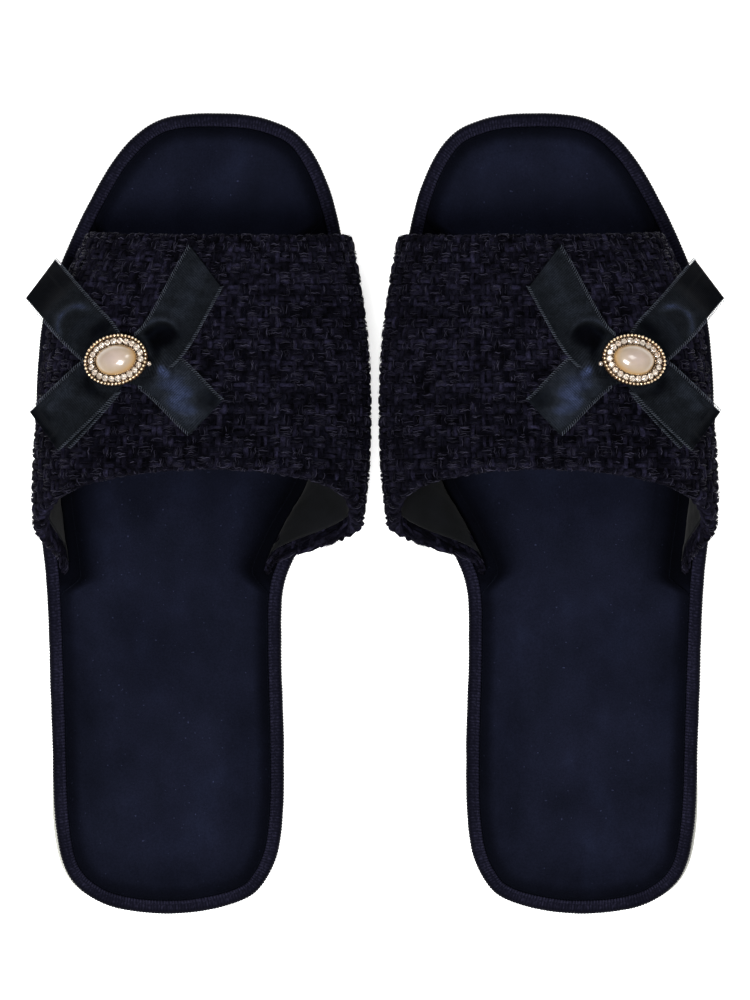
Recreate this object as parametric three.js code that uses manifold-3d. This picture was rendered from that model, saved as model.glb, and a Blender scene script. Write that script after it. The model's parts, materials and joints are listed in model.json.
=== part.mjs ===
// A pair of open-toe spa slippers, built up as such slippers are sewn: a moulded outsole, a padded velvet
// footbed whose edge is bound with tape, a wide lined tweed strap, and a crossed satin bow under an oval
// brooch. Millimetres, +Z up, toes towards +Y. The left slipper is drawn in its own frame, with x = 0 at
// the middle of its width and its outer side at -x. The right one is its mirror image.
import * as THREE from "three";
import { mergeVertices } from "three/addons/utils/BufferGeometryUtils.js";
import Module from "manifold-3d";

const wasm = await Module();
wasm.setup();

// ---------- Driving dimensions ----------
const soleLength = 255.6;
const soleWidth = 102.1;
const pairGap = 3.2; // between the two straps, where they bulge most
const clearance = 0.3; // between neighbouring pieces

const outsoleThickness = 6;
const outsoleInset = 0.9; // the bound edge overhangs the outsole
const outsoleHeelFlare = 1.8; // the outsole swells back out at the outer side of the heel
const outsoleFlareReach = 30; // along the edge, from the middle of the swelling
const outsoleEdgeRadius = 1.2;

const tapeThickness = 1; // edge binding
const tapeTopWidth = 4;
const tapeUnderWidth = 8;
const boardThickness = 1.4;
const foamThickness = 5;
const foamEdgeThickness = 2.4; // squeezed by the edge seam
const velvetThickness = 1;
const padRollWidth = 5; // over which the pad rises from its seam
const padCrown = 0.5; // extra height along the middle

const toeOpening = 39.8; // toe end to the strap's front edge
const strapTopLength = 74;
const strapFootLength = 108;
const strapSeatGap = 0.9; // foot of the strap to the tape
const strapFrontHeight = 38; // inside, above the foot of the strap
const strapRearHeight = 50;
const outerWallLean = { front: 1, rear: 6 }; // from the strap's outer foot
const innerWallShy = { front: 5.9, rear: 0.3 }; // from the sole's widest point, to the strap's inner face
const innerWallBow = 2.7;
const wallLean = { start: 0.05, end: 0.44 }; // shares of the height between which the walls lean out
const rearEdgeCurve = { power: 0.8, footShare: 0.68, footEnd: 0.7 }; // how the rear edge falls to its feet
const liningThickness = 0.8;
const strapFoamThickness = 1.4;
const tweedThickness = 2.2;

const ribbonWidth = 15;
const ribbonThickness = 0.6;
const ribbonPinch = 0.25; // share of its width that a ribbon loses where it is gathered
// Each ribbon: its line from one tail end to the other, from the brooch, and how far each end's cut runs
// off square.
const ribbons = {
  lower: { line: [[-24.9, 26], [-9, 8.6], [0, 0], [10.5, -2.2], [27.9, -18.3]], cuts: [-3, 0] },
  upper: { line: [[-23.6, -22.6], [-9, -8.6], [0, 0], [11.5, 3.4], [27.8, 29.8]], cuts: [2, 6] },
};
const ribbonCrossing = { over: 22, past: 32 }; // the upper one climbs over the lower between these reaches
const broochFromFront = 40; // strap's front edge to the brooch
const broochFromSide = 27.6; // outer edge of the sole to the brooch
const broochLength = 21;
const broochWidth = 16.4;
const broochTurn = THREE.MathUtils.degToRad(8); // its long axis, from the x axis
const settingRimHeight = 2.6;
const settingFloor = 1.4;
const settingWall = 0.9;
const stoneBand = 2.1; // width of the ring of stones
const stoneHeight = 1.9;
const pearlHeight = 4.1;
const threadRadius = 1.4;
const knotRadius = 2.6;

const outlineSteps = 54;
const strapSteps = { across: 20, along: 5 };
const ribbonSteps = { along: 14, across: 3 };
const ovalSteps = 24;

// ---------- Heights, from the floor up ----------
const tapeBottom = outsoleThickness;
const boardBottom = tapeBottom + tapeThickness;
const foamBottom = boardBottom + boardThickness;
const seamTop = foamBottom + foamEdgeThickness + clearance + velvetThickness; // velvet under the tape
const tapeTop = seamTop + clearance + tapeThickness;
const padRise = foamThickness - foamEdgeThickness;
const strapFoot = seamTop + clearance;

// ---------- Places along and across the sole ----------
const strapThickness = liningThickness + strapFoamThickness + tweedThickness + 2 * clearance;
const strapInset = tapeTopWidth + strapSeatGap + strapThickness; // sole edge to the strap's inner face
const strapFrontY = soleLength / 2 - toeOpening;
const strapRearTopY = strapFrontY - strapTopLength;
const strapRearFootY = strapFrontY - strapFootLength;
const brooch = { x: broochFromSide - soleWidth / 2, y: strapFrontY - broochFromFront };

// ---------- Closed solids from rows of points ----------
function solidFromTriangles(triangles) {
  const positions = new Float32Array(triangles.flatMap((corner) => corner.toArray()));
  const geometry = new THREE.BufferGeometry();
  geometry.setAttribute("position", new THREE.BufferAttribute(positions, 3));
  return mergeVertices(geometry, 1e-4);
}

function quad(triangles, a, b, c, d) {
  triangles.push(a, b, c, a, c, d);
}

function middleOf(ring) {
  return ring.reduce((sum, point) => sum.add(point), new THREE.Vector3()).divideScalar(ring.length);
}

// Rings from the bottom up, each counterclockwise from above. The ends are capped, or joined to each
// other when the rings are the corners of a section that runs round as a closed band.
function solidFromRings(rings, isBand = false) {
  const triangles = [];
  const count = rings[0].length;
  const levels = isBand ? rings.length : rings.length - 1;
  for (let level = 0; level < levels; level++) {
    const low = rings[level];
    const high = rings[(level + 1) % rings.length];
    for (let i = 0; i < count; i++) {
      const next = (i + 1) % count;
      quad(triangles, low[i], low[next], high[next], high[i]);
    }
  }
  if (!isBand) {
    const [first, last] = [rings[0], rings.at(-1)];
    const [bottom, top] = [middleOf(first), middleOf(last)];
    for (let i = 0; i < count; i++) {
      const next = (i + 1) % count;
      triangles.push(bottom, first[next], first[i], top, last[i], last[next]);
    }
  }
  return solidFromTriangles(triangles);
}

// A sheet with thickness: two faces of rows x columns points, joined round their edges.
function solidFromSheet(outer, inner) {
  const triangles = [];
  const rows = outer.length - 1;
  const columns = outer[0].length - 1;
  for (let r = 0; r < rows; r++) {
    for (let c = 0; c < columns; c++) {
      quad(triangles, outer[r][c], outer[r + 1][c], outer[r + 1][c + 1], outer[r][c + 1]);
      quad(triangles, inner[r][c], inner[r][c + 1], inner[r + 1][c + 1], inner[r + 1][c]);
    }
    quad(triangles, inner[r][0], inner[r + 1][0], outer[r + 1][0], outer[r][0]);
    quad(triangles, outer[r][columns], outer[r + 1][columns], inner[r + 1][columns], inner[r][columns]);
  }
  for (let c = 0; c < columns; c++) {
    quad(triangles, outer[0][c], outer[0][c + 1], inner[0][c + 1], inner[0][c]);
    quad(triangles, inner[rows][c], inner[rows][c + 1], outer[rows][c + 1], outer[rows][c]);
  }
  return solidFromTriangles(triangles);
}

// ---------- Booleans ----------
function toManifold(geometry) {
  const vertProperties = geometry.attributes.position.array;
  const triVerts = new Uint32Array(geometry.index.array);
  return new wasm.Manifold(new wasm.Mesh({ numProp: 3, vertProperties, triVerts }));
}

function cutAway(geometry, tool) {
  const mesh = toManifold(geometry).subtract(toManifold(tool)).getMesh();
  const result = new THREE.BufferGeometry();
  result.setAttribute("position", new THREE.BufferAttribute(mesh.vertProperties, 3));
  result.setIndex(new THREE.BufferAttribute(mesh.triVerts, 1));
  return result;
}

// ---------- Outline of the sole ----------
// Shares of the width and the length, counterclockwise from the tip of the big toe.
const outlineShares = [
  [0.11, 0.5],
  [-0.119, 0.491],
  [-0.232, 0.454],
  [-0.322, 0.397],
  [-0.409, 0.323],
  [-0.475, 0.248],
  [-0.5, 0.117],
  [-0.497, 0.02],
  [-0.468, -0.078],
  [-0.45, -0.258],
  [-0.436, -0.391],
  [-0.406, -0.445],
  [-0.316, -0.482],
  [-0.076, -0.5],
  [0.153, -0.482],
  [0.209, -0.464],
  [0.256, -0.426],
  [0.274, -0.376],
  [0.277, -0.293],
  [0.269, -0.164],
  [0.275, -0.094],
  [0.321, -0.045],
  [0.421, 0.029],
  [0.482, 0.117],
  [0.5, 0.196],
  [0.49, 0.266],
  [0.44, 0.379],
  [0.39, 0.435],
  [0.327, 0.472],
  [0.24, 0.491],
];

function makeOutline() {
  const shares = outlineShares.map(([across, along]) => new THREE.Vector3(across, along, 0));
  const curve = new THREE.CatmullRomCurve3(shares, true, "centripetal");
  const points = curve.getPoints(400);
  const box = new THREE.Box3().setFromPoints(points);
  const size = box.getSize(new THREE.Vector3());
  const middle = box.getCenter(new THREE.Vector3());
  return (t) => {
    const point = curve.getPoint(t).sub(middle);
    return new THREE.Vector3((point.x / size.x) * soleWidth, (point.y / size.y) * soleLength, 0);
  };
}

const outlineAt = makeOutline();

// The outline moved inwards by a distance, or by a distance that depends on the place.
function insetPoint(t, inset, z = 0) {
  const step = 1e-4;
  const point = outlineAt(t);
  const along = outlineAt((t + step) % 1).sub(outlineAt((t - step + 1) % 1)).normalize();
  const distance = typeof inset === "function" ? inset(point) : inset;
  return new THREE.Vector3(point.x - along.y * distance, point.y + along.x * distance, z);
}

function insetRing(inset, z, steps = outlineSteps) {
  return Array.from({ length: steps }, (_, i) => insetPoint(i / steps, inset, z));
}

// ---------- Sole pieces ----------
const smooth = THREE.MathUtils.smoothstep;

// The outsole swells at the outer side of the heel.
function outsoleEdge({ x, y }) {
  const heelPlace = new THREE.Vector2(-0.44 * soleWidth, -0.41 * soleLength);
  const away = new THREE.Vector2(x, y).distanceTo(heelPlace) / outsoleFlareReach;
  return outsoleInset - outsoleHeelFlare * Math.exp(-(away ** 2));
}

function makeOutsole() {
  const tucked = (place) => outsoleEdge(place) + outsoleEdgeRadius;
  return solidFromRings([
    insetRing(tucked, 0),
    insetRing(outsoleEdge, outsoleEdgeRadius),
    insetRing(outsoleEdge, outsoleThickness),
  ]);
}

function makeBottomFiller() {
  const inset = tapeUnderWidth + clearance;
  return solidFromRings([insetRing(inset, tapeBottom), insetRing(inset, boardBottom)]);
}

function makeInsoleBoard() {
  const inset = tapeThickness + clearance;
  return solidFromRings([insetRing(inset, boardBottom), insetRing(inset, foamBottom)]);
}

// The pad starts to rise at the tape, and further in where the strap stands on its edge.
function padStart({ y }) {
  const behind = smooth(y, strapRearFootY - 24, strapRearFootY - 10);
  const ahead = smooth(y, strapFrontY + 10, strapFrontY + 22);
  const atTape = tapeTopWidth + clearance;
  return atTape + (strapInset + 3 * clearance - atTape) * behind * (1 - ahead);
}

// Rings of the pad's upper surface, from the edge in: [inset, share of the rise].
function padRings(seamHeight) {
  const edge = tapeThickness + clearance;
  const profile = [
    [edge, 0],
    [padStart, 0],
    [(place) => padStart(place) + 0.35 * padRollWidth, 0.55],
    [(place) => padStart(place) + padRollWidth, 1],
    [(place) => padStart(place) + 3 * padRollWidth, 1 + padCrown / padRise],
  ];
  return profile.map(([inset, share]) => insetRing(inset, seamHeight + share * padRise));
}

function makeFoamPad() {
  const edge = tapeThickness + clearance;
  return solidFromRings([insetRing(edge, foamBottom), ...padRings(foamBottom + foamEdgeThickness)]);
}

function makeVelvetFootbed() {
  const lower = padRings(seamTop - velvetThickness);
  const upper = padRings(seamTop);
  return solidFromRings([...lower.reverse(), ...upper]);
}

// Section of the edge tape, from the tuck under the board round to the top of the pad: [inset, height].
function makeEdgeBinding() {
  const section = [
    [tapeUnderWidth, tapeBottom],
    [0.6, tapeBottom],
    [0, tapeBottom + 1],
    [0, tapeTop - 1.4],
    [0.9, tapeTop - 0.2],
    [2, tapeTop],
    [tapeTopWidth, tapeTop - 0.1],
    [tapeTopWidth, tapeTop - tapeThickness],
    [tapeThickness, tapeTop - tapeThickness],
    [tapeThickness, boardBottom],
    [tapeUnderWidth, boardBottom],
  ];
  return solidFromRings(section.map(([inset, z]) => insetRing(inset, z)), true);
}

// ---------- Strap ----------
// Arch of the strap from its outer wall to its inner wall: shares of the width and the height.
const archShares = [
  [0, 0],
  [0, 0.2],
  [0.002, 0.42],
  [0.04, 0.63],
  [0.135, 0.82],
  [0.31, 0.95],
  [0.52, 1],
  [0.72, 0.965],
  [0.885, 0.84],
  [0.975, 0.65],
  [1, 0.43],
  [1, 0.2],
  [1, 0],
];
const archCurve = new THREE.CatmullRomCurve3(
  archShares.map(([across, up]) => new THREE.Vector3(across, up, 0)),
  false,
  "centripetal",
);
const footLine = insetRing(strapInset, 0, 400);

// Where the strap's inner face meets the footbed at a place along the sole, on the -x or +x side.
function footX(y, side) {
  for (let i = 0; i < footLine.length; i++) {
    const a = footLine[i];
    const b = footLine[(i + 1) % footLine.length];
    const crosses = (a.y - y) * (b.y - y) <= 0 && a.y !== b.y;
    const x = a.x + ((b.x - a.x) * (y - a.y)) / (b.y - a.y);
    if (crosses && Math.sign(x) === side) return x;
  }
  throw new Error(`the strap reaches past the sole at y = ${y}`);
}

// The strap's walls lean out from its feet: on the outer side ever more towards the rear, and on the
// inner side to a line that stays nearly straight while the sole narrows to its waist.
function wallX(y) {
  const rearward = (strapFrontY - y) / strapTopLength;
  const outerLean = THREE.MathUtils.lerp(outerWallLean.front, outerWallLean.rear, rearward);
  const bow = 4 * rearward * (1 - rearward) * innerWallBow;
  const innerWall = THREE.MathUtils.lerp(innerWallShy.front, innerWallShy.rear, rearward) - bow;
  return [footX(y, -1) - outerLean, soleWidth / 2 - innerWall];
}

// Share of the way that the strap's rear edge has come forward at a share of the arch's height.
function rearRise(up) {
  const { power, footShare, footEnd } = rearEdgeCurve;
  return up ** power * THREE.MathUtils.lerp(footShare, 1, smooth(up, 0, footEnd));
}

// Inner face of the strap: u from the outer foot to the inner foot, v from the rear edge to the front.
function strapInner(u, v) {
  const share = archCurve.getPoint(THREE.MathUtils.clamp(u, 0, 1));
  const up = Math.max(share.y, 0);
  const rearY = strapRearFootY + (strapRearTopY - strapRearFootY) * rearRise(up);
  const y = rearY + (strapFrontY - rearY) * v;
  const rearward = (strapFrontY - y) / strapTopLength;
  const height = strapFrontHeight + (strapRearHeight - strapFrontHeight) * rearward;
  const lean = smooth(up, wallLean.start, wallLean.end);
  const [outerWall, innerWall] = wallX(y);
  const outer = THREE.MathUtils.lerp(footX(y, -1), outerWall, lean);
  const inner = THREE.MathUtils.lerp(footX(y, 1), innerWall, lean);
  return new THREE.Vector3(outer + (inner - outer) * share.x, y, strapFoot + height * share.y);
}

// The strap's inner face moved outwards along its normal. Its feet stay level on the footbed.
function strapPoint(u, v, out) {
  const step = 1e-3;
  const [u0, u1] = [Math.max(u - step, 0), Math.min(u + step, 1)];
  const [v0, v1] = [Math.max(v - step, 0), Math.min(v + step, 1)];
  const across = strapInner(u1, v).sub(strapInner(u0, v));
  const along = strapInner(u, v1).sub(strapInner(u, v0));
  const normal = across.cross(along).normalize();
  const isFoot = u === 0 || u === 1;
  if (isFoot) normal.setZ(0).normalize();
  return strapInner(u, v).addScaledVector(normal, out);
}

function strapFace(out) {
  const { across, along } = strapSteps;
  return Array.from({ length: across + 1 }, (_, i) =>
    Array.from({ length: along + 1 }, (_, j) => strapPoint(i / across, j / along, out)),
  );
}

function makeStrapLayer(innerFace, thickness) {
  return solidFromSheet(strapFace(innerFace + thickness), strapFace(innerFace));
}

const strapFoamFace = liningThickness + clearance;
const tweedFace = strapFoamFace + strapFoamThickness + clearance;

// Point and normal of the strap's upper face above a place on the floor.
function strapTop(x, y) {
  let [u, v] = [0.35, 0.5];
  const step = 1e-3;
  for (let round = 0; round < 12; round++) {
    const here = strapPoint(u, v, strapThickness);
    const du = strapPoint(u + step, v, strapThickness).sub(here).divideScalar(step);
    const dv = strapPoint(u, v + step, strapThickness).sub(here).divideScalar(step);
    const det = du.x * dv.y - du.y * dv.x;
    const [dx, dy] = [x - here.x, y - here.y];
    u = THREE.MathUtils.clamp(u + (dx * dv.y - dy * dv.x) / det, 0.05, 0.95);
    v = THREE.MathUtils.clamp(v + (dy * du.x - dx * du.y) / det, -0.2, 1);
  }
  const point = strapPoint(u, v, strapThickness);
  const normal = point.clone().sub(strapPoint(u, v, 0)).normalize();
  return { point, normal };
}

// ---------- Bow ----------
const bowSeat = strapTop(brooch.x, brooch.y);
const ribbonLeave = brooch.x - 4; // past here a ribbon runs straight on, off the strap's shoulder

// Height on which a ribbon lies at a place on the floor.
function bowHeight(x, y) {
  const { point, normal } = strapTop(Math.max(x, ribbonLeave), y);
  const slope = -normal.x / normal.z;
  return point.z + slope * Math.min(x - ribbonLeave, 0);
}

// A ribbon from one tail end to the other. Layer 0 lies on the strap, and layer 1 crosses over it.
function makeRibbon({ line, cuts }, layer) {
  const curve = new THREE.CatmullRomCurve3(
    line.map(([x, y]) => new THREE.Vector3(brooch.x + x, brooch.y + y, 0)),
  );
  const [upper, lower] = [ribbonThickness, 0].map((lift) =>
    Array.from({ length: ribbonSteps.along + 1 }, (_, i) => {
      const t = i / ribbonSteps.along;
      const centre = curve.getPoint(t);
      const along = curve.getTangent(t);
      const side = new THREE.Vector3(-along.y, along.x, 0);
      const gather = 1 - ribbonPinch * Math.exp(-(((t - 0.5) / 0.16) ** 2));
      const slant = t < 0.5 ? cuts[0] * (1 - 2 * t) ** 3 : cuts[1] * (2 * t - 1) ** 3;
      return Array.from({ length: ribbonSteps.across + 1 }, (_, j) => {
        const across = j / ribbonSteps.across - 0.5;
        const point = centre.clone().addScaledVector(side, across * ribbonWidth * gather);
        point.addScaledVector(along, across * slant);
        const reach = Math.hypot(point.x - brooch.x, point.y - brooch.y);
        const climb = 1 - smooth(reach, ribbonCrossing.over, ribbonCrossing.past);
        const over = layer * (ribbonThickness + clearance) * climb;
        point.z = bowHeight(point.x, point.y) + 1.5 * clearance + over + lift;
        return point;
      });
    }),
  );
  return solidFromSheet(upper, lower);
}

// ---------- Brooch, in its own frame: z = 0 is the underside of the setting ----------
const broochLift = 2.5 * clearance + 2 * (ribbonThickness + clearance);

function ovalRing(inset, z) {
  const [halfLength, halfWidth] = [broochLength / 2 - inset, broochWidth / 2 - inset];
  return Array.from({ length: ovalSteps }, (_, i) => {
    const angle = (2 * Math.PI * i) / ovalSteps;
    return new THREE.Vector3(halfLength * Math.cos(angle), halfWidth * Math.sin(angle), z);
  });
}

function makeSetting() {
  return solidFromRings([
    ovalRing(1.6, 0),
    ovalRing(0.2, 0.9),
    ovalRing(0, settingRimHeight - 0.5),
    ovalRing(settingWall / 2, settingRimHeight),
    ovalRing(settingWall, settingRimHeight - 0.3),
    ovalRing(settingWall, settingFloor),
  ]);
}

const stonesOutside = settingWall + clearance;
const stonesInside = stonesOutside + stoneBand;

function makeStoneRing() {
  const bottom = settingFloor + clearance;
  const top = bottom + stoneHeight;
  return solidFromRings(
    [
      ovalRing(stonesInside, bottom),
      ovalRing(stonesOutside, bottom),
      ovalRing(stonesOutside, top - 0.7),
      ovalRing(stonesOutside + 0.3 * stoneBand, top),
      ovalRing(stonesInside - 0.3 * stoneBand, top),
      ovalRing(stonesInside, top - 0.7),
    ],
    true,
  );
}

function makePearl() {
  const seat = stonesInside + clearance;
  const [halfLength, halfWidth] = [broochLength / 2 - seat, broochWidth / 2 - seat];
  const levels = 5;
  const rings = Array.from({ length: levels }, (_, level) => {
    const rise = (level / levels) * (Math.PI / 2);
    const z = settingFloor + clearance + pearlHeight * Math.sin(rise);
    return Array.from({ length: ovalSteps }, (_, i) => {
      const angle = (2 * Math.PI * i) / ovalSteps;
      const x = halfLength * Math.cos(rise) * Math.cos(angle);
      const y = halfWidth * Math.cos(rise) * Math.sin(angle);
      return new THREE.Vector3(x, y, z);
    });
  });
  return solidFromRings(rings);
}

// Wound thread under the setting, through the ribbons and the tweed, with its knot in the strap's foam.
const threadTop = -clearance;
const knotTop = -broochLift - tweedThickness - clearance;
const knotBottom = knotTop - strapFoamThickness + clearance;

function roundPost(profile) {
  const points = profile.map(([radius, z]) => new THREE.Vector2(radius, z));
  const post = new THREE.LatheGeometry(points, 12).rotateX(Math.PI / 2);
  post.deleteAttribute("normal");
  post.deleteAttribute("uv");
  return mergeVertices(post, 1e-4);
}

function makeThreadShank() {
  return roundPost([
    [0, knotBottom],
    [knotRadius, knotBottom],
    [knotRadius, knotTop],
    [threadRadius, knotTop],
    [threadRadius, threadTop],
    [0, threadTop],
  ]);
}

// The hole that the thread and its knot need through the layers below the brooch.
function makeThreadHole() {
  const reach = knotRadius + clearance;
  return roundPost([
    [0, knotBottom - 3 * clearance],
    [reach, knotBottom - 3 * clearance],
    [reach, knotTop + 2 * clearance],
    [threadRadius + clearance, knotTop + 2 * clearance],
    [threadRadius + clearance, 2],
    [0, 2],
  ]);
}

const broochFrame = new THREE.Matrix4().compose(
  bowSeat.point.clone().addScaledVector(bowSeat.normal, broochLift),
  new THREE.Quaternion().setFromUnitVectors(new THREE.Vector3(0, 0, 1), bowSeat.normal),
  new THREE.Vector3(1, 1, 1),
);
broochFrame.multiply(new THREE.Matrix4().makeRotationZ(broochTurn));

// ---------- Assembly ----------
const finishes = {
  outsole: { color: 0xc9c9c4, roughness: 0.7 },
  foam: { color: 0xd8d4c8, roughness: 0.9 },
  board: { color: 0x8a7a62, roughness: 0.85 },
  velvet: { color: 0x141b2b, roughness: 1 },
  tape: { color: 0x1c1a34, roughness: 0.85 },
  tweed: { color: 0x12112a, roughness: 0.95 },
  lining: { color: 0x121216, roughness: 0.8 },
  satin: { color: 0x141e26, roughness: 0.35 },
  gold: { color: 0xc8ab78, roughness: 0.3, metalness: 1 },
  glass: { color: 0xe4e0d6, roughness: 0.05 },
  pearl: { color: 0xd8bea0, roughness: 0.25 },
  thread: { color: 0x15141f, roughness: 0.9 },
};

function makePieces() {
  const hole = makeThreadHole().applyMatrix4(broochFrame);
  const inBrooch = (geometry) => geometry.applyMatrix4(broochFrame);
  return [
    ["outsole", makeOutsole(), finishes.outsole],
    ["bottom_filler", makeBottomFiller(), finishes.foam],
    ["insole_board", makeInsoleBoard(), finishes.board],
    ["foam_pad", makeFoamPad(), finishes.foam],
    ["velvet_footbed", makeVelvetFootbed(), finishes.velvet],
    ["edge_binding", makeEdgeBinding(), finishes.tape],
    ["strap_lining", makeStrapLayer(0, liningThickness), finishes.lining],
    ["strap_foam", cutAway(makeStrapLayer(strapFoamFace, strapFoamThickness), hole), finishes.foam],
    ["strap_tweed", cutAway(makeStrapLayer(tweedFace, tweedThickness), hole), finishes.tweed],
    ["ribbon_lower", cutAway(makeRibbon(ribbons.lower, 0), hole), finishes.satin],
    ["ribbon_upper", cutAway(makeRibbon(ribbons.upper, 1), hole), finishes.satin],
    ["brooch_setting", inBrooch(makeSetting()), finishes.gold],
    ["brooch_stones", inBrooch(makeStoneRing()), finishes.glass],
    ["brooch_pearl", inBrooch(makePearl()), finishes.pearl],
    ["brooch_thread", inBrooch(makeThreadShank()), finishes.thread],
  ];
}

const pieces = makePieces();

// How far the strap reaches past the middle of its own slipper, towards the other one.
const tweed = pieces.find(([name]) => name === "strap_tweed")[1];
tweed.computeBoundingBox();
const slipperX = tweed.boundingBox.max.x + pairGap / 2;

const pair = new THREE.Group();
for (const [side, mirror] of [["left", 1], ["right", -1]]) {
  const slipper = new THREE.Group();
  slipper.position.x = -mirror * slipperX;
  slipper.scale.x = mirror;
  for (const [name, geometry, finish] of pieces) {
    const material = new THREE.MeshStandardMaterial({ metalness: 0, ...finish });
    const mesh = new THREE.Mesh(geometry, material);
    mesh.name = `${side}_${name}`;
    slipper.add(mesh);
  }
  pair.add(slipper);
}

export default pair;
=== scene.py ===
import json
import math

import bpy
import numpy as np
from mathutils import Matrix, Vector
from mathutils.bvhtree import BVHTree
from mathutils.kdtree import KDTree


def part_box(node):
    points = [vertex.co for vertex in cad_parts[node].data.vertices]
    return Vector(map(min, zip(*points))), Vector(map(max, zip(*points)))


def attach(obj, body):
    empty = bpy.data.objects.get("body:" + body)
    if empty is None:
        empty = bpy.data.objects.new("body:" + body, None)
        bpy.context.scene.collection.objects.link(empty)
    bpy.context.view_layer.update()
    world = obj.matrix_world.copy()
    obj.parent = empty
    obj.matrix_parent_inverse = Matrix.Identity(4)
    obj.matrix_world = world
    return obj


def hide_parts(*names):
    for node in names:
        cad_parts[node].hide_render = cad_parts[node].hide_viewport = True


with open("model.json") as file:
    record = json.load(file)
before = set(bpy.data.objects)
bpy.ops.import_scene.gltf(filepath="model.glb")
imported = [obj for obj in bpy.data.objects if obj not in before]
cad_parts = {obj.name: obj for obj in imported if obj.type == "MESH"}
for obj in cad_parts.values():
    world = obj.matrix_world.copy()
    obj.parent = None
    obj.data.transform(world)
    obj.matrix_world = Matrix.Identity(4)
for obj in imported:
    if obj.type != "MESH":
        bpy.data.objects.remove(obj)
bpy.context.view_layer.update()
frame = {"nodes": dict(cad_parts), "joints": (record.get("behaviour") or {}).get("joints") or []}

# Looks of the pair of spa slippers. Shapes are worked out in millimetres for the left slipper, in the
# part's own frame, and each piece is mirrored in X for the right one.
MM = 0.001


def span_mm(node):
    """Lowest and highest corner of a CAD node, in millimetres."""
    low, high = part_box(node)
    return np.array(low) / MM, np.array(high) / MM


# ---------- Sizes, from the frame ----------
TAPE_LOW, TAPE_HIGH = span_mm("left_edge_binding")
SOLE_SIZE = (TAPE_HIGH - TAPE_LOW)[:2]
SOLE_MIDDLE = (TAPE_HIGH + TAPE_LOW)[:2] / 2
OUTSOLE_TOP, TAPE_TOP = TAPE_LOW[2], TAPE_HIGH[2]
PAD_TOP = span_mm("left_velvet_footbed")[1][2]
STRAP_FOOT = span_mm("left_strap_lining")[0][2]

# ---------- Sizes of the strap and the tape, as in the CAD part ----------
TAPE_WIDTH = 4.0
TOE_OPENING = 39.8
STRAP_TOP_LENGTH = 74.0
STRAP_FOOT_LENGTH = 108.0
FRONT_HEIGHT, REAR_HEIGHT = 38.0, 50.0
STRAP_THICKNESS = 5.0
STRAP_INSET = TAPE_WIDTH + 0.9 + STRAP_THICKNESS
OUTER_LEAN = (1.0, 6.0)
INNER_SHY = (5.9, 0.3)
INNER_BOW = 2.7
LEAN_SPAN = (0.05, 0.44)
FRONT_Y = SOLE_MIDDLE[1] + SOLE_SIZE[1] / 2 - TOE_OPENING
REAR_TOP_Y = FRONT_Y - STRAP_TOP_LENGTH
REAR_FOOT_Y = FRONT_Y - STRAP_FOOT_LENGTH

OUTLINE_SHARES = [
    (0.11, 0.5), (-0.119, 0.491), (-0.232, 0.454), (-0.322, 0.397), (-0.409, 0.323), (-0.475, 0.248),
    (-0.5, 0.117), (-0.497, 0.02), (-0.468, -0.078), (-0.45, -0.258), (-0.436, -0.391), (-0.406, -0.445),
    (-0.316, -0.482), (-0.076, -0.5), (0.153, -0.482), (0.209, -0.464), (0.256, -0.426), (0.274, -0.376),
    (0.277, -0.293), (0.269, -0.164), (0.275, -0.094), (0.321, -0.045), (0.421, 0.029), (0.482, 0.117),
    (0.5, 0.196), (0.49, 0.266), (0.44, 0.379), (0.39, 0.435), (0.327, 0.472), (0.24, 0.491),
]
ARCH_SHARES = [
    (0, 0), (0, 0.2), (0.002, 0.42), (0.04, 0.63), (0.135, 0.82), (0.31, 0.95), (0.52, 1),
    (0.72, 0.965), (0.885, 0.84), (0.975, 0.65), (1, 0.43), (1, 0.2), (1, 0),
]


# ---------- Curves and small helpers ----------
def catmull(points, places, closed):
    """Points of a centripetal Catmull-Rom curve at places from 0 to 1."""
    points = np.asarray(points, float)
    count = len(points)
    spans = count if closed else count - 1
    along = np.asarray(places, float) * spans
    span = np.floor(along).astype(int)
    if closed:
        p0, p1, p2, p3 = (points[(span + k) % count] for k in (-1, 0, 1, 2))
    else:
        span = np.clip(span, 0, spans - 1)
        ends = [2 * points[0] - points[1]], points, [2 * points[-1] - points[-2]]
        longer = np.vstack(ends)
        p0, p1, p2, p3 = (longer[span + k] for k in range(4))
    part = (along - span)[:, None]
    d0, d1, d2 = (
        np.sqrt(np.linalg.norm(b - a, axis=1))[:, None] for a, b in ((p0, p1), (p1, p2), (p2, p3))
    )
    t1 = d1 * ((p1 - p0) / d0 - (p2 - p0) / (d0 + d1) + (p2 - p1) / d1)
    t2 = d1 * ((p2 - p1) / d1 - (p3 - p1) / (d1 + d2) + (p3 - p2) / d2)
    square = -3 * p1 + 3 * p2 - 2 * t1 - t2
    cube = 2 * p1 - 2 * p2 + t1 + t2
    return p1 + part * (t1 + part * (square + part * cube))


def smooth(x, start, end):
    t = np.clip((x - start) / (end - start), 0, 1)
    return t * t * (3 - 2 * t)


def bump(x, middle, width):
    return np.exp(-(((x - middle) / width) ** 2))


def unit(vectors):
    return vectors / np.maximum(np.linalg.norm(vectors, axis=-1, keepdims=True), 1e-9)


def wobble(x, y, size, seed):
    """Smooth unrepeating waves of about a given size, from -1 to 1."""
    turns = np.random.default_rng(seed).uniform(0, 2 * math.pi, (5, 2))
    total = 0
    for k, (heading, phase) in enumerate(turns):
        step = 2 * math.pi / (size * (0.7 + 0.22 * k))
        total = total + np.sin((x * math.cos(heading) + y * math.sin(heading)) * step + phase)
    return total / 5

def circle(count, start=0.0):
    """Even angles round a full turn."""
    return (np.arange(count) + start) * 2 * math.pi / count


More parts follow.
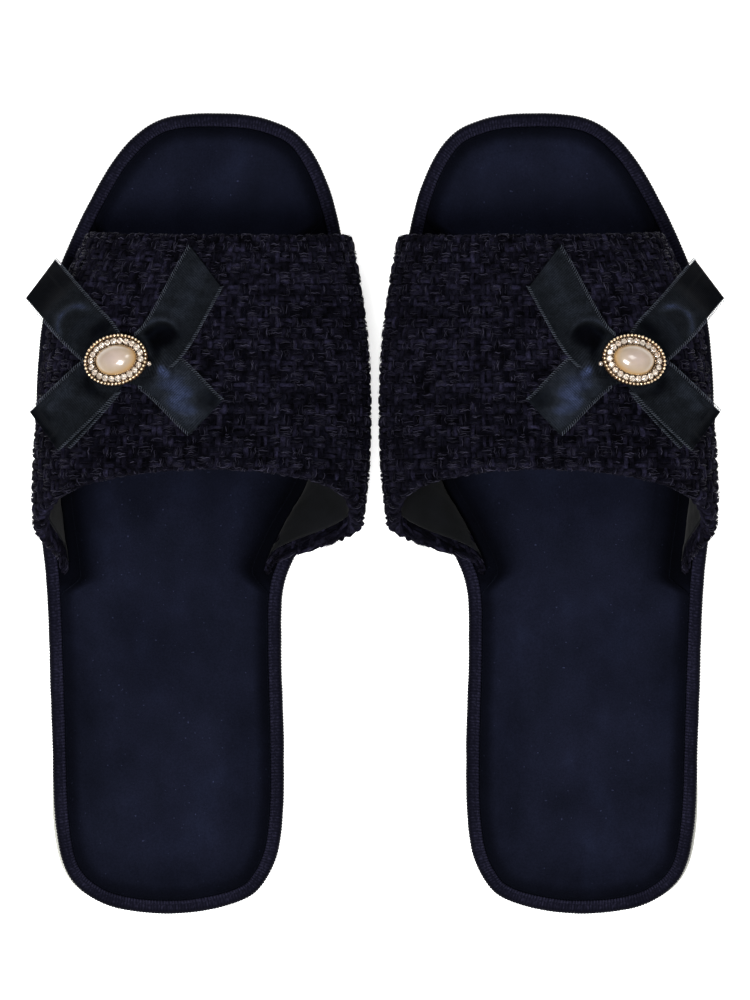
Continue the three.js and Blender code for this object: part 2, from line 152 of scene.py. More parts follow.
def arc_along(points, closed=False):
    """Distance along a line at each of its points, and back at the start if it is closed."""
    if closed:
        points = np.vstack([points, points[:1]])
    return np.concatenate([[0], np.cumsum(np.linalg.norm(np.diff(points, axis=0), axis=1))])


def read_off(places, arc, values):
    """The rows of values, looked up at places along an arc."""
    return np.stack([np.interp(places, arc, column) for column in values.T], -1)


def left_of(ahead):
    """Unit directions on the floor, a quarter turn to the left."""
    return unit(np.stack([-ahead[:, 1], ahead[:, 0]], 1))


# ---------- Meshes ----------
def make_mesh(name, points, faces, flat=False):
    mesh = bpy.data.meshes.new(name)
    mesh.vertices.add(len(points))
    mesh.vertices.foreach_set("co", (np.asarray(points) * MM).astype(np.float32).ravel())
    faces = [np.asarray(f, np.int32) for f in faces if len(f)]
    sizes = np.concatenate([np.full(len(f), f.shape[1]) for f in faces])
    corners = np.concatenate([f.ravel() for f in faces])
    mesh.loops.add(len(corners))
    mesh.loops.foreach_set("vertex_index", corners)
    mesh.polygons.add(len(sizes))
    mesh.polygons.foreach_set("loop_start", np.concatenate([[0], np.cumsum(sizes)[:-1]]))
    mesh.polygons.foreach_set("loop_total", sizes)
    mesh.polygons.foreach_set("use_smooth", np.full(len(sizes), not flat))
    mesh.update(calc_edges=True)
    mesh.validate()
    return mesh


def paint(mesh, tones, name="tone"):
    """Stores one number for each vertex, which materials read by the attribute's name."""
    attribute = mesh.attributes.new(name, "FLOAT", "POINT")
    attribute.data.foreach_set("value", np.asarray(tones, np.float32))


def grid_faces(rows, columns, wrap_rows=False, wrap_columns=False, start=0):
    r = np.arange(rows if wrap_rows else rows - 1)
    c = np.arange(columns if wrap_columns else columns - 1)
    r, c = np.meshgrid(r, c, indexing="ij")
    r2, c2 = (r + 1) % rows, (c + 1) % columns
    quads = np.stack([r * columns + c, r * columns + c2, r2 * columns + c2, r2 * columns + c], -1)
    return quads.reshape(-1, 4) + start


def pair_of(
    name, points, faces, material, slot, body="slipper", replaces=(), tones=None, reach=None, flat=False
):
    """Makes a piece for the left slipper and its mirror image for the right one."""
    made = []
    for side, mirror in (("left", 1), ("right", -1)):
        placed = np.asarray(points) * (mirror, 1, 1)
        turned = [np.asarray(f)[:, ::mirror] for f in faces if len(f)]
        mesh = make_mesh(f"{side}_{name}", placed, turned, flat)
        if tones is not None:
            paint(mesh, tones)
        if reach is not None:
            paint(mesh, reach, "reach")
        mesh.materials.append(material)
        piece = bpy.data.objects.new(f"{side}_{name}_look", mesh)
        bpy.context.scene.collection.objects.link(piece)
        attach(piece, f"{side}_{body}")
        if replaces:
            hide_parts(*(f"{side}_{node}" for node in replaces))
        made.append(piece)
    return made

def tube(centres, normals, radii, sides, flatness=1.0):
    """A closed tube along centres, with a normal and a radius at each of them."""
    across = unit(np.cross(unit(np.gradient(centres, axis=0)), normals))
    angle, radii = circle(sides)[:, None], radii[:, None, None]
    ring = across[:, None] * np.cos(angle) * radii + normals[:, None] * np.sin(angle) * radii * flatness
    points = (centres[:, None] + ring).reshape(-1, 3)
    quads = grid_faces(len(centres), sides, wrap_columns=True)[:, ::-1]
    rim = np.arange(sides)
    return points, quads, np.stack([rim, rim[::-1] + (len(centres) - 1) * sides])


# ---------- Outline of the sole ----------
class Outline:
    def __init__(self, dense=4000):
        points = catmull(OUTLINE_SHARES, np.arange(dense) / dense, True)
        low, high = points.min(0), points.max(0)
        self.points = SOLE_MIDDLE + (points - (low + high) / 2) / (high - low) * SOLE_SIZE
        self.inward = left_of(np.roll(self.points, -1, 0) - np.roll(self.points, 1, 0))
        self.arc = arc_along(self.points, True)
        self.length = self.arc[-1]

    def even(self, count):
        """Points, inward directions and distances at even steps along the edge."""
        arc = np.arange(count) / count * self.length
        points, inward = (
            read_off(arc, self.arc, np.vstack([values, values[:1]])) for values in (self.points, self.inward)
        )
        return points, unit(inward), arc


OUTLINE = Outline()


def drawn_in(edge, inward, inset):
    return edge + inward * np.broadcast_to(inset, len(edge))[:, None]


def ring_at(edge, inward, inset, height):
    return np.column_stack([drawn_in(edge, inward, inset), np.broadcast_to(height, len(edge))])


def cap_faces(ring_start, count, middle, upward):
    i = np.arange(count)
    rim = [ring_start + i, ring_start + (i + 1) % count]
    return np.stack([*(rim if upward else rim[::-1]), np.full(count, middle)], 1)


def stack(rings, first, last):
    """A closed solid from a stack of equal rings, fanned shut to a point at each end."""
    rings = np.asarray(rings, float)
    levels, count = rings.shape[:2]
    points = np.vstack([rings.reshape(-1, 3), [first], [last]])
    bottom = cap_faces(0, count, len(points) - 2, False)
    top = cap_faces((levels - 1) * count, count, len(points) - 1, True)
    return points, [grid_faces(levels, count, wrap_columns=True), bottom, top]


# ---------- Strap surface ----------
ARCH_STEPS = np.linspace(0, 1, 2001)
ARCH_TABLE = catmull(ARCH_SHARES, ARCH_STEPS, False)
FOOT_EDGE = OUTLINE.points + OUTLINE.inward * STRAP_INSET


def foot_table(side):
    """The strap's foot line on one side, as x against y."""
    near = (FOOT_EDGE[:, 1] > REAR_FOOT_Y - 25) & (FOOT_EDGE[:, 1] < FRONT_Y + 12)
    chosen = FOOT_EDGE[near & ((FOOT_EDGE[:, 0] - SOLE_MIDDLE[0]) * side > 0)]
    return chosen[np.argsort(chosen[:, 1])]


FOOT_TABLES = {side: foot_table(side) for side in (-1, 1)}


def foot_x(y, side):
    table = FOOT_TABLES[side]
    return np.interp(y, table[:, 1], table[:, 0])


def mix(pair, share):
    return pair[0] + (pair[1] - pair[0]) * share


def arch_height(u):
    """Share of the arch's height at u."""
    return np.maximum(np.interp(u, ARCH_STEPS, ARCH_TABLE[:, 1]), 0)


def rear_y(u):
    up = arch_height(u)
    return REAR_FOOT_Y + (REAR_TOP_Y - REAR_FOOT_Y) * up**0.8 * (0.68 + 0.32 * smooth(up, 0, 0.7))


def strap_inner(u, y):
    """Inner face of the strap at u across the arch and y along the sole."""
    share_x = np.interp(u, ARCH_STEPS, ARCH_TABLE[:, 0])
    up = arch_height(u)
    back = (FRONT_Y - y) / STRAP_TOP_LENGTH
    height = mix((FRONT_HEIGHT, REAR_HEIGHT), back)
    lean = smooth(up, *LEAN_SPAN)
    outer_foot, inner_foot = foot_x(y, -1), foot_x(y, 1)
    outer_wall = outer_foot - mix(OUTER_LEAN, back)
    shy = mix(INNER_SHY, back) - 4 * back * (1 - back) * INNER_BOW
    inner_wall = SOLE_MIDDLE[0] + SOLE_SIZE[0] / 2 - shy
    outer = mix((outer_foot, outer_wall), lean)
    inner = mix((inner_foot, inner_wall), lean)
    return np.stack([mix((outer, inner), share_x), y + 0 * u, STRAP_FOOT + height * up], -1)


def strap_normal(u, y):
    du, dy = 2e-3, 0.4
    across = strap_inner(np.minimum(u + du, 1), y) - strap_inner(np.maximum(u - du, 0), y)
    along = strap_inner(u, y + dy) - strap_inner(u, y - dy)
    return unit(np.cross(across, along))


HEM = 6.0
OVER = math.pi * STRAP_THICKNESS / 2 + HEM
EDGE_IN = STRAP_THICKNESS / 2 - 0.4


def roll_at(u):
    """Half the strap's thickness. It is squeezed thin where its feet are sewn in."""
    return STRAP_THICKNESS / 2 * (0.48 + 0.52 * smooth(arch_height(u), 0.02, 0.4))


def skin_length(u):
    """Length of the strap's outer face from its front edge to its rear edge, without the rolls."""
    return FRONT_Y - rear_y(u) - 2 * EDGE_IN


def strap_skin(u, back, out):
    """A place on the strap's skin and its outward normal. back is the distance behind the front edge.
    Below 0, and past the rear edge, the skin rolls round the edge and then runs along the inner face
    as a hem. out lifts the place off the skin."""
    length = skin_length(u)
    over = np.maximum(np.maximum(-back, back - length), 0)
    edge_y = FRONT_Y - EDGE_IN - np.clip(back, 0, length)
    heading = np.where(back < 0, 1.0, -1.0)
    roll = roll_at(u) + 0 * edge_y
    angle = np.minimum(over / roll, math.pi)[..., None]
    y = edge_y - heading * np.maximum(over - math.pi * roll, 0)
    normal = strap_normal(u, y)
    forward = unit(strap_inner(u, y + 0.4) - strap_inner(u, y - 0.4)) * heading[..., None]
    middle = strap_inner(u, y) + normal * (STRAP_THICKNESS - roll)[..., None]
    turned = normal * np.cos(angle) + forward * np.sin(angle)
    return middle + turned * np.maximum(roll + out, 0.12)[..., None], turned


def arch_table():
    """u and the distance along the arch, halfway along the strap."""
    fine = np.linspace(0, 1, 1500)
    return fine, arc_along(strap_inner(fine, np.full(1500, REAR_TOP_Y + STRAP_TOP_LENGTH / 2)))


ARCH_U, ARCH_ARC = arch_table()
ARCH_LENGTH = ARCH_ARC[-1]


def u_at(arc):
    return np.interp(arc, ARCH_ARC, ARCH_U)


# ---------- Materials ----------
SATIN_RIB = 0.66


def srgb(red, green, blue):
    """Linear colour of an sRGB colour from 0 to 255."""
    shares = [c / 255 for c in (red, green, blue)]
    return tuple(c / 12.92 if c <= 0.04045 else ((c + 0.055) / 1.055) ** 2.4 for c in shares)


class Look:
    """A node material: a Principled shader and short ways to add what feeds it.

    A source is a noise size in millimetres, a tuple of noise settings, the name of a tone painted on
    the mesh, or the word ribs."""

    def __init__(self, name, **sockets):
        self.material = bpy.data.materials.new(name)
        self.material.use_nodes = True
        self.nodes = self.material.node_tree.nodes
        self.links = self.material.node_tree.links
        self.shader = self.nodes["Principled BSDF"]
        for socket, value in sockets.items():
            self.set(socket.replace("_", " "), value)

    def add(self, kind, **inputs):
        node = self.nodes.new(kind)
        for name, value in inputs.items():
            self.feed(node.inputs[name.replace("_", " ")], value)
        return node

    def feed(self, socket, value):
        if isinstance(value, bpy.types.NodeSocket):
            self.links.new(value, socket)
        else:
            socket.default_value = value

    def set(self, socket, value):
        self.feed(self.shader.inputs[socket], value)

    def noise(self, size, detail=3.0, stretch=(1, 1, 1)):
        """Noise from 0 to 1, in object space, whose blotches are about size millimetres across."""
        place = self.add(
            "ShaderNodeMapping", Vector=self.add("ShaderNodeTexCoord").outputs["Object"],
            Scale=[1 / (MM * s) for s in stretch],
        )
        vector = place.outputs["Vector"]
        node = self.add("ShaderNodeTexNoise", Vector=vector, Scale=1 / size, Detail=detail, Roughness=0.55)
        return node.outputs["Fac"]

    def painted(self, name):
        node = self.add("ShaderNodeAttribute")
        node.attribute_name = name
        return node.outputs["Fac"]

    def math(self, operation, *values):
        node = self.nodes.new("ShaderNodeMath")
        node.operation = operation
        for socket, value in zip(node.inputs, values):
            self.feed(socket, value)
        return node.outputs[0]

    def source(self, kind):
        if kind == "ribs":
            turns = self.math("MULTIPLY", self.painted("reach"), 2 * math.pi / SATIN_RIB)
            return self.math("MULTIPLY_ADD", self.math("SINE", turns), 0.5, 0.5)
        if isinstance(kind, str):
            return self.painted(kind)
        return self.noise(*(kind if isinstance(kind, tuple) else (kind,)))

    def ramp(self, kind, stops):
        node = self.add("ShaderNodeValToRGB", Fac=self.source(kind))
        elements = node.color_ramp.elements
        while len(elements) < len(stops):
            elements.new(0.5)
        for element, (place, colour) in zip(elements, stops.items()):
            element.position = place
            element.color = (*srgb(*colour), 1)
        return node.outputs["Color"]

    def spread(self, kind, low, high, start=0.0, end=1.0):
        """A number that goes from low to high as a source goes from start to end."""
        spans = {"From_Min": start, "From_Max": end, "To_Min": low, "To_Max": high}
        return self.add("ShaderNodeMapRange", Value=self.source(kind), **spans).outputs[0]

    def tint(self, colour, *spread):
        """Colour made darker or lighter by a spread."""
        node = self.nodes.new("ShaderNodeVectorMath")
        node.operation = "SCALE"
        self.feed(node.inputs[0], colour)
        self.feed(node.inputs["Scale"], self.spread(*spread))
        return node.outputs[0]

    def bump(self, layers):
        """Bumps of (source, depth in millimetres), each on the one before."""
        normal = None
        for kind, depth in layers:
            node = self.add("ShaderNodeBump", Height=self.source(kind), Distance=depth * MM)
            if normal is not None:
                self.links.new(normal, node.inputs["Normal"])
            normal = node.outputs["Normal"]
        self.set("Normal", normal)


def finish(name, kind, stops, tints=(), bumps=(), rough=None, **sockets):
    """A material coloured by a source through stops, then tinted, roughened and bumped by spreads."""
    look = Look(name, **sockets)
    colour = look.ramp(kind, stops)
    for tint in tints:
        colour = look.tint(colour, *tint)
    look.set("Base Color", colour)
    if rough:
        look.set("Roughness", look.spread(*rough))
    if bumps:
        look.bump(bumps)
    return look.material


def velvet_look():
    return finish(
        "velvet", (16, 4, (1, 1.5, 1)), {0.3: (13, 15, 25), 0.55: (16, 18, 30), 0.75: (19, 22, 36)},
        tints=[
            (24, 0.86, 1.1, 0.35, 0.65), (0.55, 0.55, 1.45), ((0.8, 0), 1.0, 3.5, 0.83, 0.87),
            # the painted tone darkens the velvet as painted shade in the seam, along the edge and under the strap
            ("tone", 0.1, 1.0, -0.3, 1.0),
        ],
        bumps=[((0.4, 2), 0.14), (5, 0.1)],
        Roughness=1.0, Specular_IOR_Level=0.02,
        Sheen_Weight=0.045, Sheen_Roughness=0.35, Sheen_Tint=(0.35, 0.42, 0.75, 1),
    )


def tape_look():
    return finish(
        # Tone 0 is painted shade, tone 1 the lit and flecked top of the tape.
        "binding tape", "tone", {0.0: (1, 1, 5), 0.5: (12, 12, 22), 1.0: (33, 32, 48)},
        tints=[(0.5, 0.6, 1.4)], bumps=[((0.28, 2), 0.09)], Roughness=0.75, Specular_IOR_Level=0.02,
        Sheen_Weight=0.025, Sheen_Roughness=0.4, Sheen_Tint=(0.5, 0.5, 0.8, 1),
    )


def yarn_look():
    return finish(
        # Tone: the yarn's own random colour, with painted light on raised floats and painted shade between the
        # yarns.
        "tweed yarn", "tone", {0.0: (2, 2, 5), 0.4: (7, 7, 13), 0.75: (14, 13, 22), 1.0: (20, 19, 31)},
        tints=[(6, 0.35, 1.45, 0.36, 0.62), (2.0, 0.35, 1.7, 0.32, 0.68), ((0.5, 4), 0.25, 1.75, 0.2, 0.8)],
        bumps=[(0.35, 0.4)], Roughness=0.95, Specular_IOR_Level=0.01,
        Sheen_Weight=0.015, Sheen_Roughness=0.5, Sheen_Tint=(0.55, 0.5, 0.8, 1),
    )


def filament_look():
    return finish(
        "tweed filament", "tone", {0.0: (14, 13, 20), 0.5: (27, 26, 37), 1.0: (56, 54, 70)},
        tints=[((0.8, 2), 0.6, 1.3)], bumps=[((0.15, 1), 0.03)], Roughness=0.5, Specular_IOR_Level=0.08,
    )


def lining_look():
    return finish(
        "lining", 9, {0.3: (7, 8, 9), 0.7: (12, 13, 16)}, tints=[((0.5, 2), 0.7, 1.3)],
        bumps=[((0.35, 2, (1, 3, 1)), 0.06), ((7, 2), 0.2)],
        Roughness=0.6, Specular_IOR_Level=0.08, Sheen_Weight=0.03,
    )


def satin_look():
    # Low tones are painted shade in the folds, the high bluish tones painted highlights of the satin's sheen.
    stops = {
        0.0: (2, 2, 3), 0.25: (6, 7, 9), 0.5: (15, 17, 20),
        0.7: (25, 28, 34), 0.82: (32, 37, 52), 1.0: (46, 54, 80),
    }
    return finish(
        "satin", "tone", stops,
        tints=[("ribs", 0.64, 1.32), (1.8, 0.8, 1.2, 0.35, 0.65), ((0.45, 2), 0.6, 1.4, 0.3, 0.7)],
        bumps=[("ribs", 0.05), ((0.25, 2), 0.04)], rough=(2.5, 0.42, 0.55),
        Specular_IOR_Level=0.015, Specular_Tint=(0.45, 0.6, 1.0, 1),
    )


def picot_look():
    return finish(
        "picot thread", (1.5, 2), {0.3: (36, 39, 46), 0.7: (74, 80, 90)}, tints=[((0.2, 2), 0.7, 1.3)],
        bumps=[((0.2, 1), 0.03)], Roughness=0.6, Specular_IOR_Level=0.1,
    )


def gold_look():
    return finish(
        # Tone runs from dark antique brown to the cream of the painted highlights on the beads.
        "gold", "tone", {0.0: (30, 20, 14), 0.5: (112, 86, 62), 1.0: (232, 208, 176)},
        tints=[(1.2, 0.7, 1.3)], bumps=[((0.3, 2), 0.02)], rough=(0.6, 0.16, 0.38), Metallic=1.0,
    )


def stone_look():
    return finish(
        "stones", (0.9, 2), {0.3: (205, 178, 150), 0.6: (250, 240, 228)},
        Roughness=0.03, IOR=1.8, Transmission_Weight=0.8, Coat_Weight=0.5,
    )


def pearl_look():
    return finish(
        # Tone runs from the pinkish grey middle to the cream-gold rim, a painted sheen.
        "pearl", "tone", {0.0: (156, 140, 130), 0.6: (150, 134, 114), 1.0: (158, 124, 78)},
        tints=[(4.5, 0.8, 1.2)], bumps=[(2.2, 0.03)], Roughness=0.24, Coat_Weight=0.7, Coat_Roughness=0.06,
        Subsurface_Weight=0.15, Subsurface_Radius=(0.002, 0.0015, 0.001),
    )


def rubber_look():
    return finish(
        "outsole rubber", (14, 4), {0.3: (170, 170, 162), 0.7: (190, 190, 182)}, tints=[(0.7, 0.93, 1.05)],
        bumps=[(0.5, 0.05)], Roughness=0.62, Specular_IOR_Level=0.35,
    )


def core_look(name, dark, light, grain, size=2.0):
    """Board, foam and thread, which only show in a cut or from below."""
    return finish(
        name, (size * 5, 4), {0.3: dark, 0.7: light}, tints=[(size, 0.85, 1.12)],
        bumps=[(size / 2, grain)], Roughness=0.9, Specular_IOR_Level=0.1,
    )


def foam_look(name):
    return core_look(name, (205, 200, 186), (226, 222, 210), 0.2)


def finish_hidden_nodes():
    finishes = {
        "bottom_filler": core_look("filler felt", (190, 186, 172), (216, 212, 200), 0.15),
        "insole_board": core_look("board fibre", (120, 104, 82), (152, 136, 110), 0.12, 1.2),
        "brooch_thread": core_look("sewing thread", (16, 15, 24), (30, 28, 44), 0.1, 0.5),
    }
    for name, material in finishes.items():
        for side in ("left", "right"):
            slots = frame["nodes"][f"{side}_{name}"].data.materials
            slots.clear()
            slots.append(material)


# ---------- Sole ----------
PAD_START = TAPE_WIDTH + 0.3
PAD_BESIDE_STRAP = STRAP_INSET + 0.9
PAD_ROLL = 5.0
PAD_ROUND = 2.3
PAD_FOOT_INSET = 1.3
ROLL_SHARES = [0, 0.04, 0.1, 0.18, 0.28, 0.4, 0.54, 0.7, 0.86, 1.0, 1.12, 1.24, 1.36, 1.48]
TREAD_PITCH, TREAD_DEPTH = 6.4, 1.1


def make_outsole():
    """Rubber sole: a welt line round its wall, a groove inside its rim, and a wavy tread."""
    edge, inward, _ = OUTLINE.even(600)
    heel = SOLE_MIDDLE + (-0.44 * SOLE_SIZE[0], -0.41 * SOLE_SIZE[1])
    bulge = 1.8 * np.exp(-((np.linalg.norm(edge - heel, axis=-1) / 30) ** 2))
    wall = [
        (0.7, OUTSOLE_TOP), (0.0, OUTSOLE_TOP - 0.5), (0.0, 4.6), (0.35, 4.35), (0.35, 4.05), (0, 3.8),
        (0.0, 2.6), (0.1, 1.3), (0.5, 0.5), (1.2, 0.06), (1.6, 0.0),
    ]
    rings = [ring_at(edge, inward, 0.9 - bulge + inset, z) for inset, z in wall]
    insets = [2.6, 4.2, 4.6, 5.2, 5.8, 6.2, 7.0, 8.0, 9.0, 10.0]
    inner_levels = 122
    middle = SOLE_MIDDLE + (0.03 * SOLE_SIZE[0], 0.06 * SOLE_SIZE[1])
    outer = np.array([drawn_in(edge, inward, inset) for inset in insets])
    share = (np.arange(1, inner_levels + 1) / (inner_levels + 1))[:, None, None]
    flat = np.concatenate([outer, outer[-1] + (middle - outer[-1]) * share])
    x, y = flat[..., 0], flat[..., 1]
    ripple = np.sin((y + 2.2 * np.sin(x / 9.5)) * 2 * math.pi / TREAD_PITCH)
    waist = smooth(bump(y, SOLE_MIDDLE[1] - 22, 17), 0.2, 0.7)
    inset = np.array([*insets, *[12.0] * inner_levels])[:, None]
    depth = TREAD_DEPTH * smooth(ripple, -0.25, 0.55) * (1 - 0.85 * waist)
    depth = depth * smooth(inset, 6.2, 8.0) + 0.7 * bump(inset, 5.2, 0.55)
    points, faces = stack([*rings, *np.dstack([flat, depth])], (*middle, OUTSOLE_TOP), (*middle, 0.4))
    pair_of("outsole", points, [f[:, ::-1] for f in faces], rubber_look(), "outsole", replaces=["outsole"])


def pad_start(y):
    """How far in from the edge the pad begins: behind the tape, or inside the strap's feet."""
    behind = smooth(y, REAR_FOOT_Y - 6.5, REAR_FOOT_Y - 0.5)
    ahead = smooth(y, FRONT_Y + 1, FRONT_Y + 8)
    return PAD_START + (PAD_BESIDE_STRAP - PAD_START) * behind * (1 - ahead)


def edge_tree():
    tree = KDTree(len(OUTLINE.points[::4]))
    for k, point in enumerate(OUTLINE.points[::4]):
        tree.insert((*point, 0), k)
    tree.balance()
    return tree


EDGE_TREE = edge_tree()


def edge_distance(points):
    return np.array([EDGE_TREE.find((*point, 0))[2] for point in points])


def evened(ring, reach=10):
    """A closed ring with its corners rounded off."""
    steps = np.arange(-3 * reach, 3 * reach + 1)
    shares = np.exp(-((steps / reach) ** 2) / 2)
    return sum(np.roll(ring, step, 0) * share for step, share in zip(steps, shares / shares.sum()))


def pad_rows(count, bottom, top):
    """The pad's rings from its foot to near its middle, and how far inside its start each point is,
    in widths of its rolled edge."""
    edge, inward, _ = OUTLINE.even(count)
    start = pad_start(edge[:, 1])
    jitter = np.random.default_rng(5)
    pucker = sum(np.sin(circle(count) * turns + jitter.uniform(0, 6.28)) for turns in (57, 83, 101, 139)) / 4
    shares = [-1, -0.35, *ROLL_SHARES]
    rows = []
    for share in shares:
        inset = start + share * (PAD_ROLL if share >= 0 else start - PAD_FOOT_INSET)
        swell = (1 - (1 - np.clip(share, 0, 1)) ** PAD_ROUND) ** (1 / PAD_ROUND)
        height = bottom + (top - bottom) * swell
        height = height + 0.3 * pucker * bump(share, 0.45, 0.6) - 0.22 * bump(share, 1.35, 0.16)
        rows.append(ring_at(edge, inward, inset, height))
    roll_end = start + ROLL_SHARES[-1] * PAD_ROLL
    beside = smooth(edge[:, 1], REAR_FOOT_Y - 70, REAR_FOOT_Y - 14)
    beside = beside * (1 - smooth(edge[:, 1], FRONT_Y + 14, FRONT_Y + 45))
    deepest = PAD_START + 8.0 + (PAD_BESIDE_STRAP + 3.0 - PAD_START) * beside
    band_levels, inner_levels = 10, 60
    flats = []
    for share in np.arange(1, band_levels + 1) / band_levels:
        flat = drawn_in(edge, inward, roll_end + (deepest - roll_end) * share)
        flats.append(flat + (evened(flat) - flat) * share)
    last = flats[-1]
    flats += [last + (PAD_MIDDLE - last) * k / (inner_levels + 1) for k in range(1, inner_levels + 1)]
    depths = np.array([edge_distance(flat) for flat in flats])
    rows += [np.column_stack([flat, top + 0.5 * smooth(depth, 9, 42)]) for flat, depth in zip(flats, depths)]
    rows = np.array(rows)
    x, y = rows[..., 0], rows[..., 1]
    inside = np.array([0, 0, *np.minimum(np.array(ROLL_SHARES) / 2, 1), *[1] * len(flats)])[:, None]
    soft = 0.22 * wobble(x, y, 38, 3) + 0.1 * wobble(x, y, 11, 4) + 0.035 * wobble(x, y, 2.6, 8)
    rows[..., 2] += inside * (soft - 0.2)
    reach = np.vstack([np.outer(np.maximum(shares, 0), np.ones(count)), (depths - start) / PAD_ROLL])
    return rows, reach, smooth(start, TAPE_WIDTH + 1, STRAP_INSET)


def pad_tones(rows, reach, under_strap):
    """Painted shade in the seam, along the edge and under the strap, and rubbed darker where a foot rests."""
    x, y = rows[..., 0], rows[..., 1]
    # Painted shade in the seam by the tape, over a band that widens beside the strap, and wider still where the
    # strap covers the pad.
    covered = under_strap * smooth(y, REAR_FOOT_Y, REAR_FOOT_Y + 26)
    tones = 0.04 + 0.96 * smooth(reach, 0.3, 1.1 + 0.8 * under_strap + 0.9 * covered)
    # Painted shade along the edge, fading out over a band with a ragged inner border; random tone variation on top
    # of it.
    edge_shade_fade = smooth(reach, 0.4, 3.2 + 2.6 * wobble(x, y, 26, 13))
    tones = tones * (0.74 + 0.26 * edge_shade_fade) * (1 + 0.1 * wobble(x, y, 30, 14) + 0.05 * wobble(x, y, 9, 15))
    rubbed = 0.5 * dome(x, y, (-62, -126), (38, 15)) + 0.35 * dome(x, y, (-95, -54), (7, 17))
    rubbed = rubbed + 0.22 * dome(x, y, (-75, -42), (10, 15), 20) + 0.25 * dome(x, y, (-44, -78), (5, 30))
    tones = tones * (1 - rubbed * (1 + 0.4 * wobble(x, y, 8, 16)))
    # Painted shade on the pad's rim beside the strap's feet.
    tones = tones - 0.24 * under_strap * (1 - smooth(reach, 0.1, 1.2))
    shadow = smooth(y + 4 * wobble(x, y, 14, 9), -7, 6) * (1 - smooth(y, FRONT_Y - 6, FRONT_Y))
    return tones * (1 - 0.4 * shadow * (tones > 0))


PAD_MIDDLE = SOLE_MIDDLE + (-0.04 * SOLE_SIZE[0], -0.08 * SOLE_SIZE[1])


def make_velvet():
    """The velvet pad and the foam inside it."""
    count = 1000
    edge, inward, _ = OUTLINE.even(count)
    seam = STRAP_FOOT - 0.3
    rows, reach, under_strap = pad_rows(count, seam - 0.15, PAD_TOP - 0.5)
    under = ring_at(edge, inward, PAD_FOOT_INSET, seam - 1.0)
    points, faces = stack([under, *rows], (*PAD_MIDDLE, seam - 1.0), (*PAD_MIDDLE, PAD_TOP - 0.2))
    tones = np.concatenate([np.zeros(count), pad_tones(rows, reach, under_strap).ravel(), [0, 1]])
    pads = pair_of(
        "velvet_footbed", points, faces, velvet_look(), "velvet", replaces=["velvet_footbed"], tones=tones
    )
    core = [ring_at(edge, inward, 1.5, seam - drop) for drop in (3.4, 1.3)] + [*(rows[1:] - (0, 0, 1.25))]
    points, faces = stack(core, (*PAD_MIDDLE, seam - 3.4), (*PAD_MIDDLE, PAD_TOP - 1.5))
    pair_of("foam_pad", points, faces, foam_look("pad foam"), "foam", replaces=["foam_pad"])


def make_binding():
    """Woven tape round the sole edge: ribbed, in painted shade over the edge, painted lighter and flecked on top,
    with painted highlights on a dotted inner ridge.
    Each point of its section is (inset, height, kind): 0 plain and in painted shade, 1 ribbed, 2 dotted."""
    count = 3200
    edge, inward, arc = OUTLINE.even(count)
    top, low = TAPE_TOP, OUTSOLE_TOP
    section = np.array([
        (8.0, low + 0.1, 0), (4.5, low, 0), (1.2, low, 0.5), (0.35, low + 0.3, 1), (0.02, low + 1.0, 1),
        (-0.1, low + 2.1, 1), (-0.12, low + 3.3, 1), (-0.1, low + 4.5, 1), (0.0, low + 5.6, 1),
        (0.22, low + 6.4, 1), (0.62, top - 0.5, 1), (1.1, top - 0.18, 1), (1.65, top, 1),
        (2.2, top - 0.02, 1), (2.55, top - 0.1, 1), (2.8, top - 0.2, 1), (3.0, top - 0.24, 1), (3.2, top - 0.16, 2),
        (3.45, top - 0.06, 2), (3.75, top - 0.08, 2), (4.0, top - 0.4, 2), (4.1, top - 1.1, 0),
        (3.6, top - 1.25, 0), (1.2, top - 1.3, 0), (1.15, low + 1.3, 0), (8.0, low + 1.1, 0),
    ])
    body, kinds = section[:, :2], section[:, 2:]
    outward = left_of(np.roll(body, -1, 0) - np.roll(body, 1, 0))
    ribs = round(OUTLINE.length)
    lean = np.linspace(0, 2.2, len(section))[:, None]
    phase = circle(count)[None] * ribs + lean + 0.5 * wobble(arc, 0 * arc, 31, 2)[None]
    ridge, dots = np.sin(phase), np.maximum(np.sin(phase + 1.2), -0.4)
    lift = np.where(kinds == 2, 0.12 * dots, 0.09 * ridge) * (kinds > 0)
    lift = lift + 0.08 * wobble(arc, 0 * arc, 12, 6)[None]
    inset, height = (body[:, k:k + 1] + outward[:, k:k + 1] * lift for k in (0, 1))
    flat = edge[None] + inward[None] * inset[..., None]
    points = np.dstack([flat, np.maximum(height, low)])
    # The top of the tape is painted lighter where it takes the light; the side over the edge stays in painted
    # shade.
    lit_top = smooth(body[:, :1], 0.6, 1.5)
    flecks = np.repeat(np.random.default_rng(12).random((len(section), count // 2)) > 0.8, 2, axis=1)
    # Rib crests painted lighter than their grooves, as light and shade; the flecks on top are the tape's own.
    tones = 0.2 + 0.08 * ridge + lit_top * (0.26 + 0.02 * ridge + 0.26 * flecks)
    # Painted highlights on the dots of the inner ridge, and random tone variation.
    tones = tones + np.where(kinds == 2, 0.08 + 0.15 * dots, 0) + 0.12 * wobble(arc, 0 * arc, 23, 9)[None]
    # Kind 0 is painted dark, as shade in the gap by the pad and under the tape.
    tones = np.where(kinds == 0, 0.08, tones)
    pair_of(
        "edge_binding", points.reshape(-1, 3), [grid_faces(len(section), count, True, True)], tape_look(),
        "binding_tape", replaces=["edge_binding"], tones=tones.ravel(),
    )


# ---------- Tweed ----------
PITCH = 1.72
YARN_RADIUS = 0.84
YARN_WAVE = 0.42
YARN_LEVEL = -0.95
YARN_FLATNESS = 0.82
SHORTEST_RUN = 10  # points of a weft yarn
FILAMENT_REACH = 4.5  # how far round the strap's edges the pale filaments go
FUZZ_COUNT = 2600


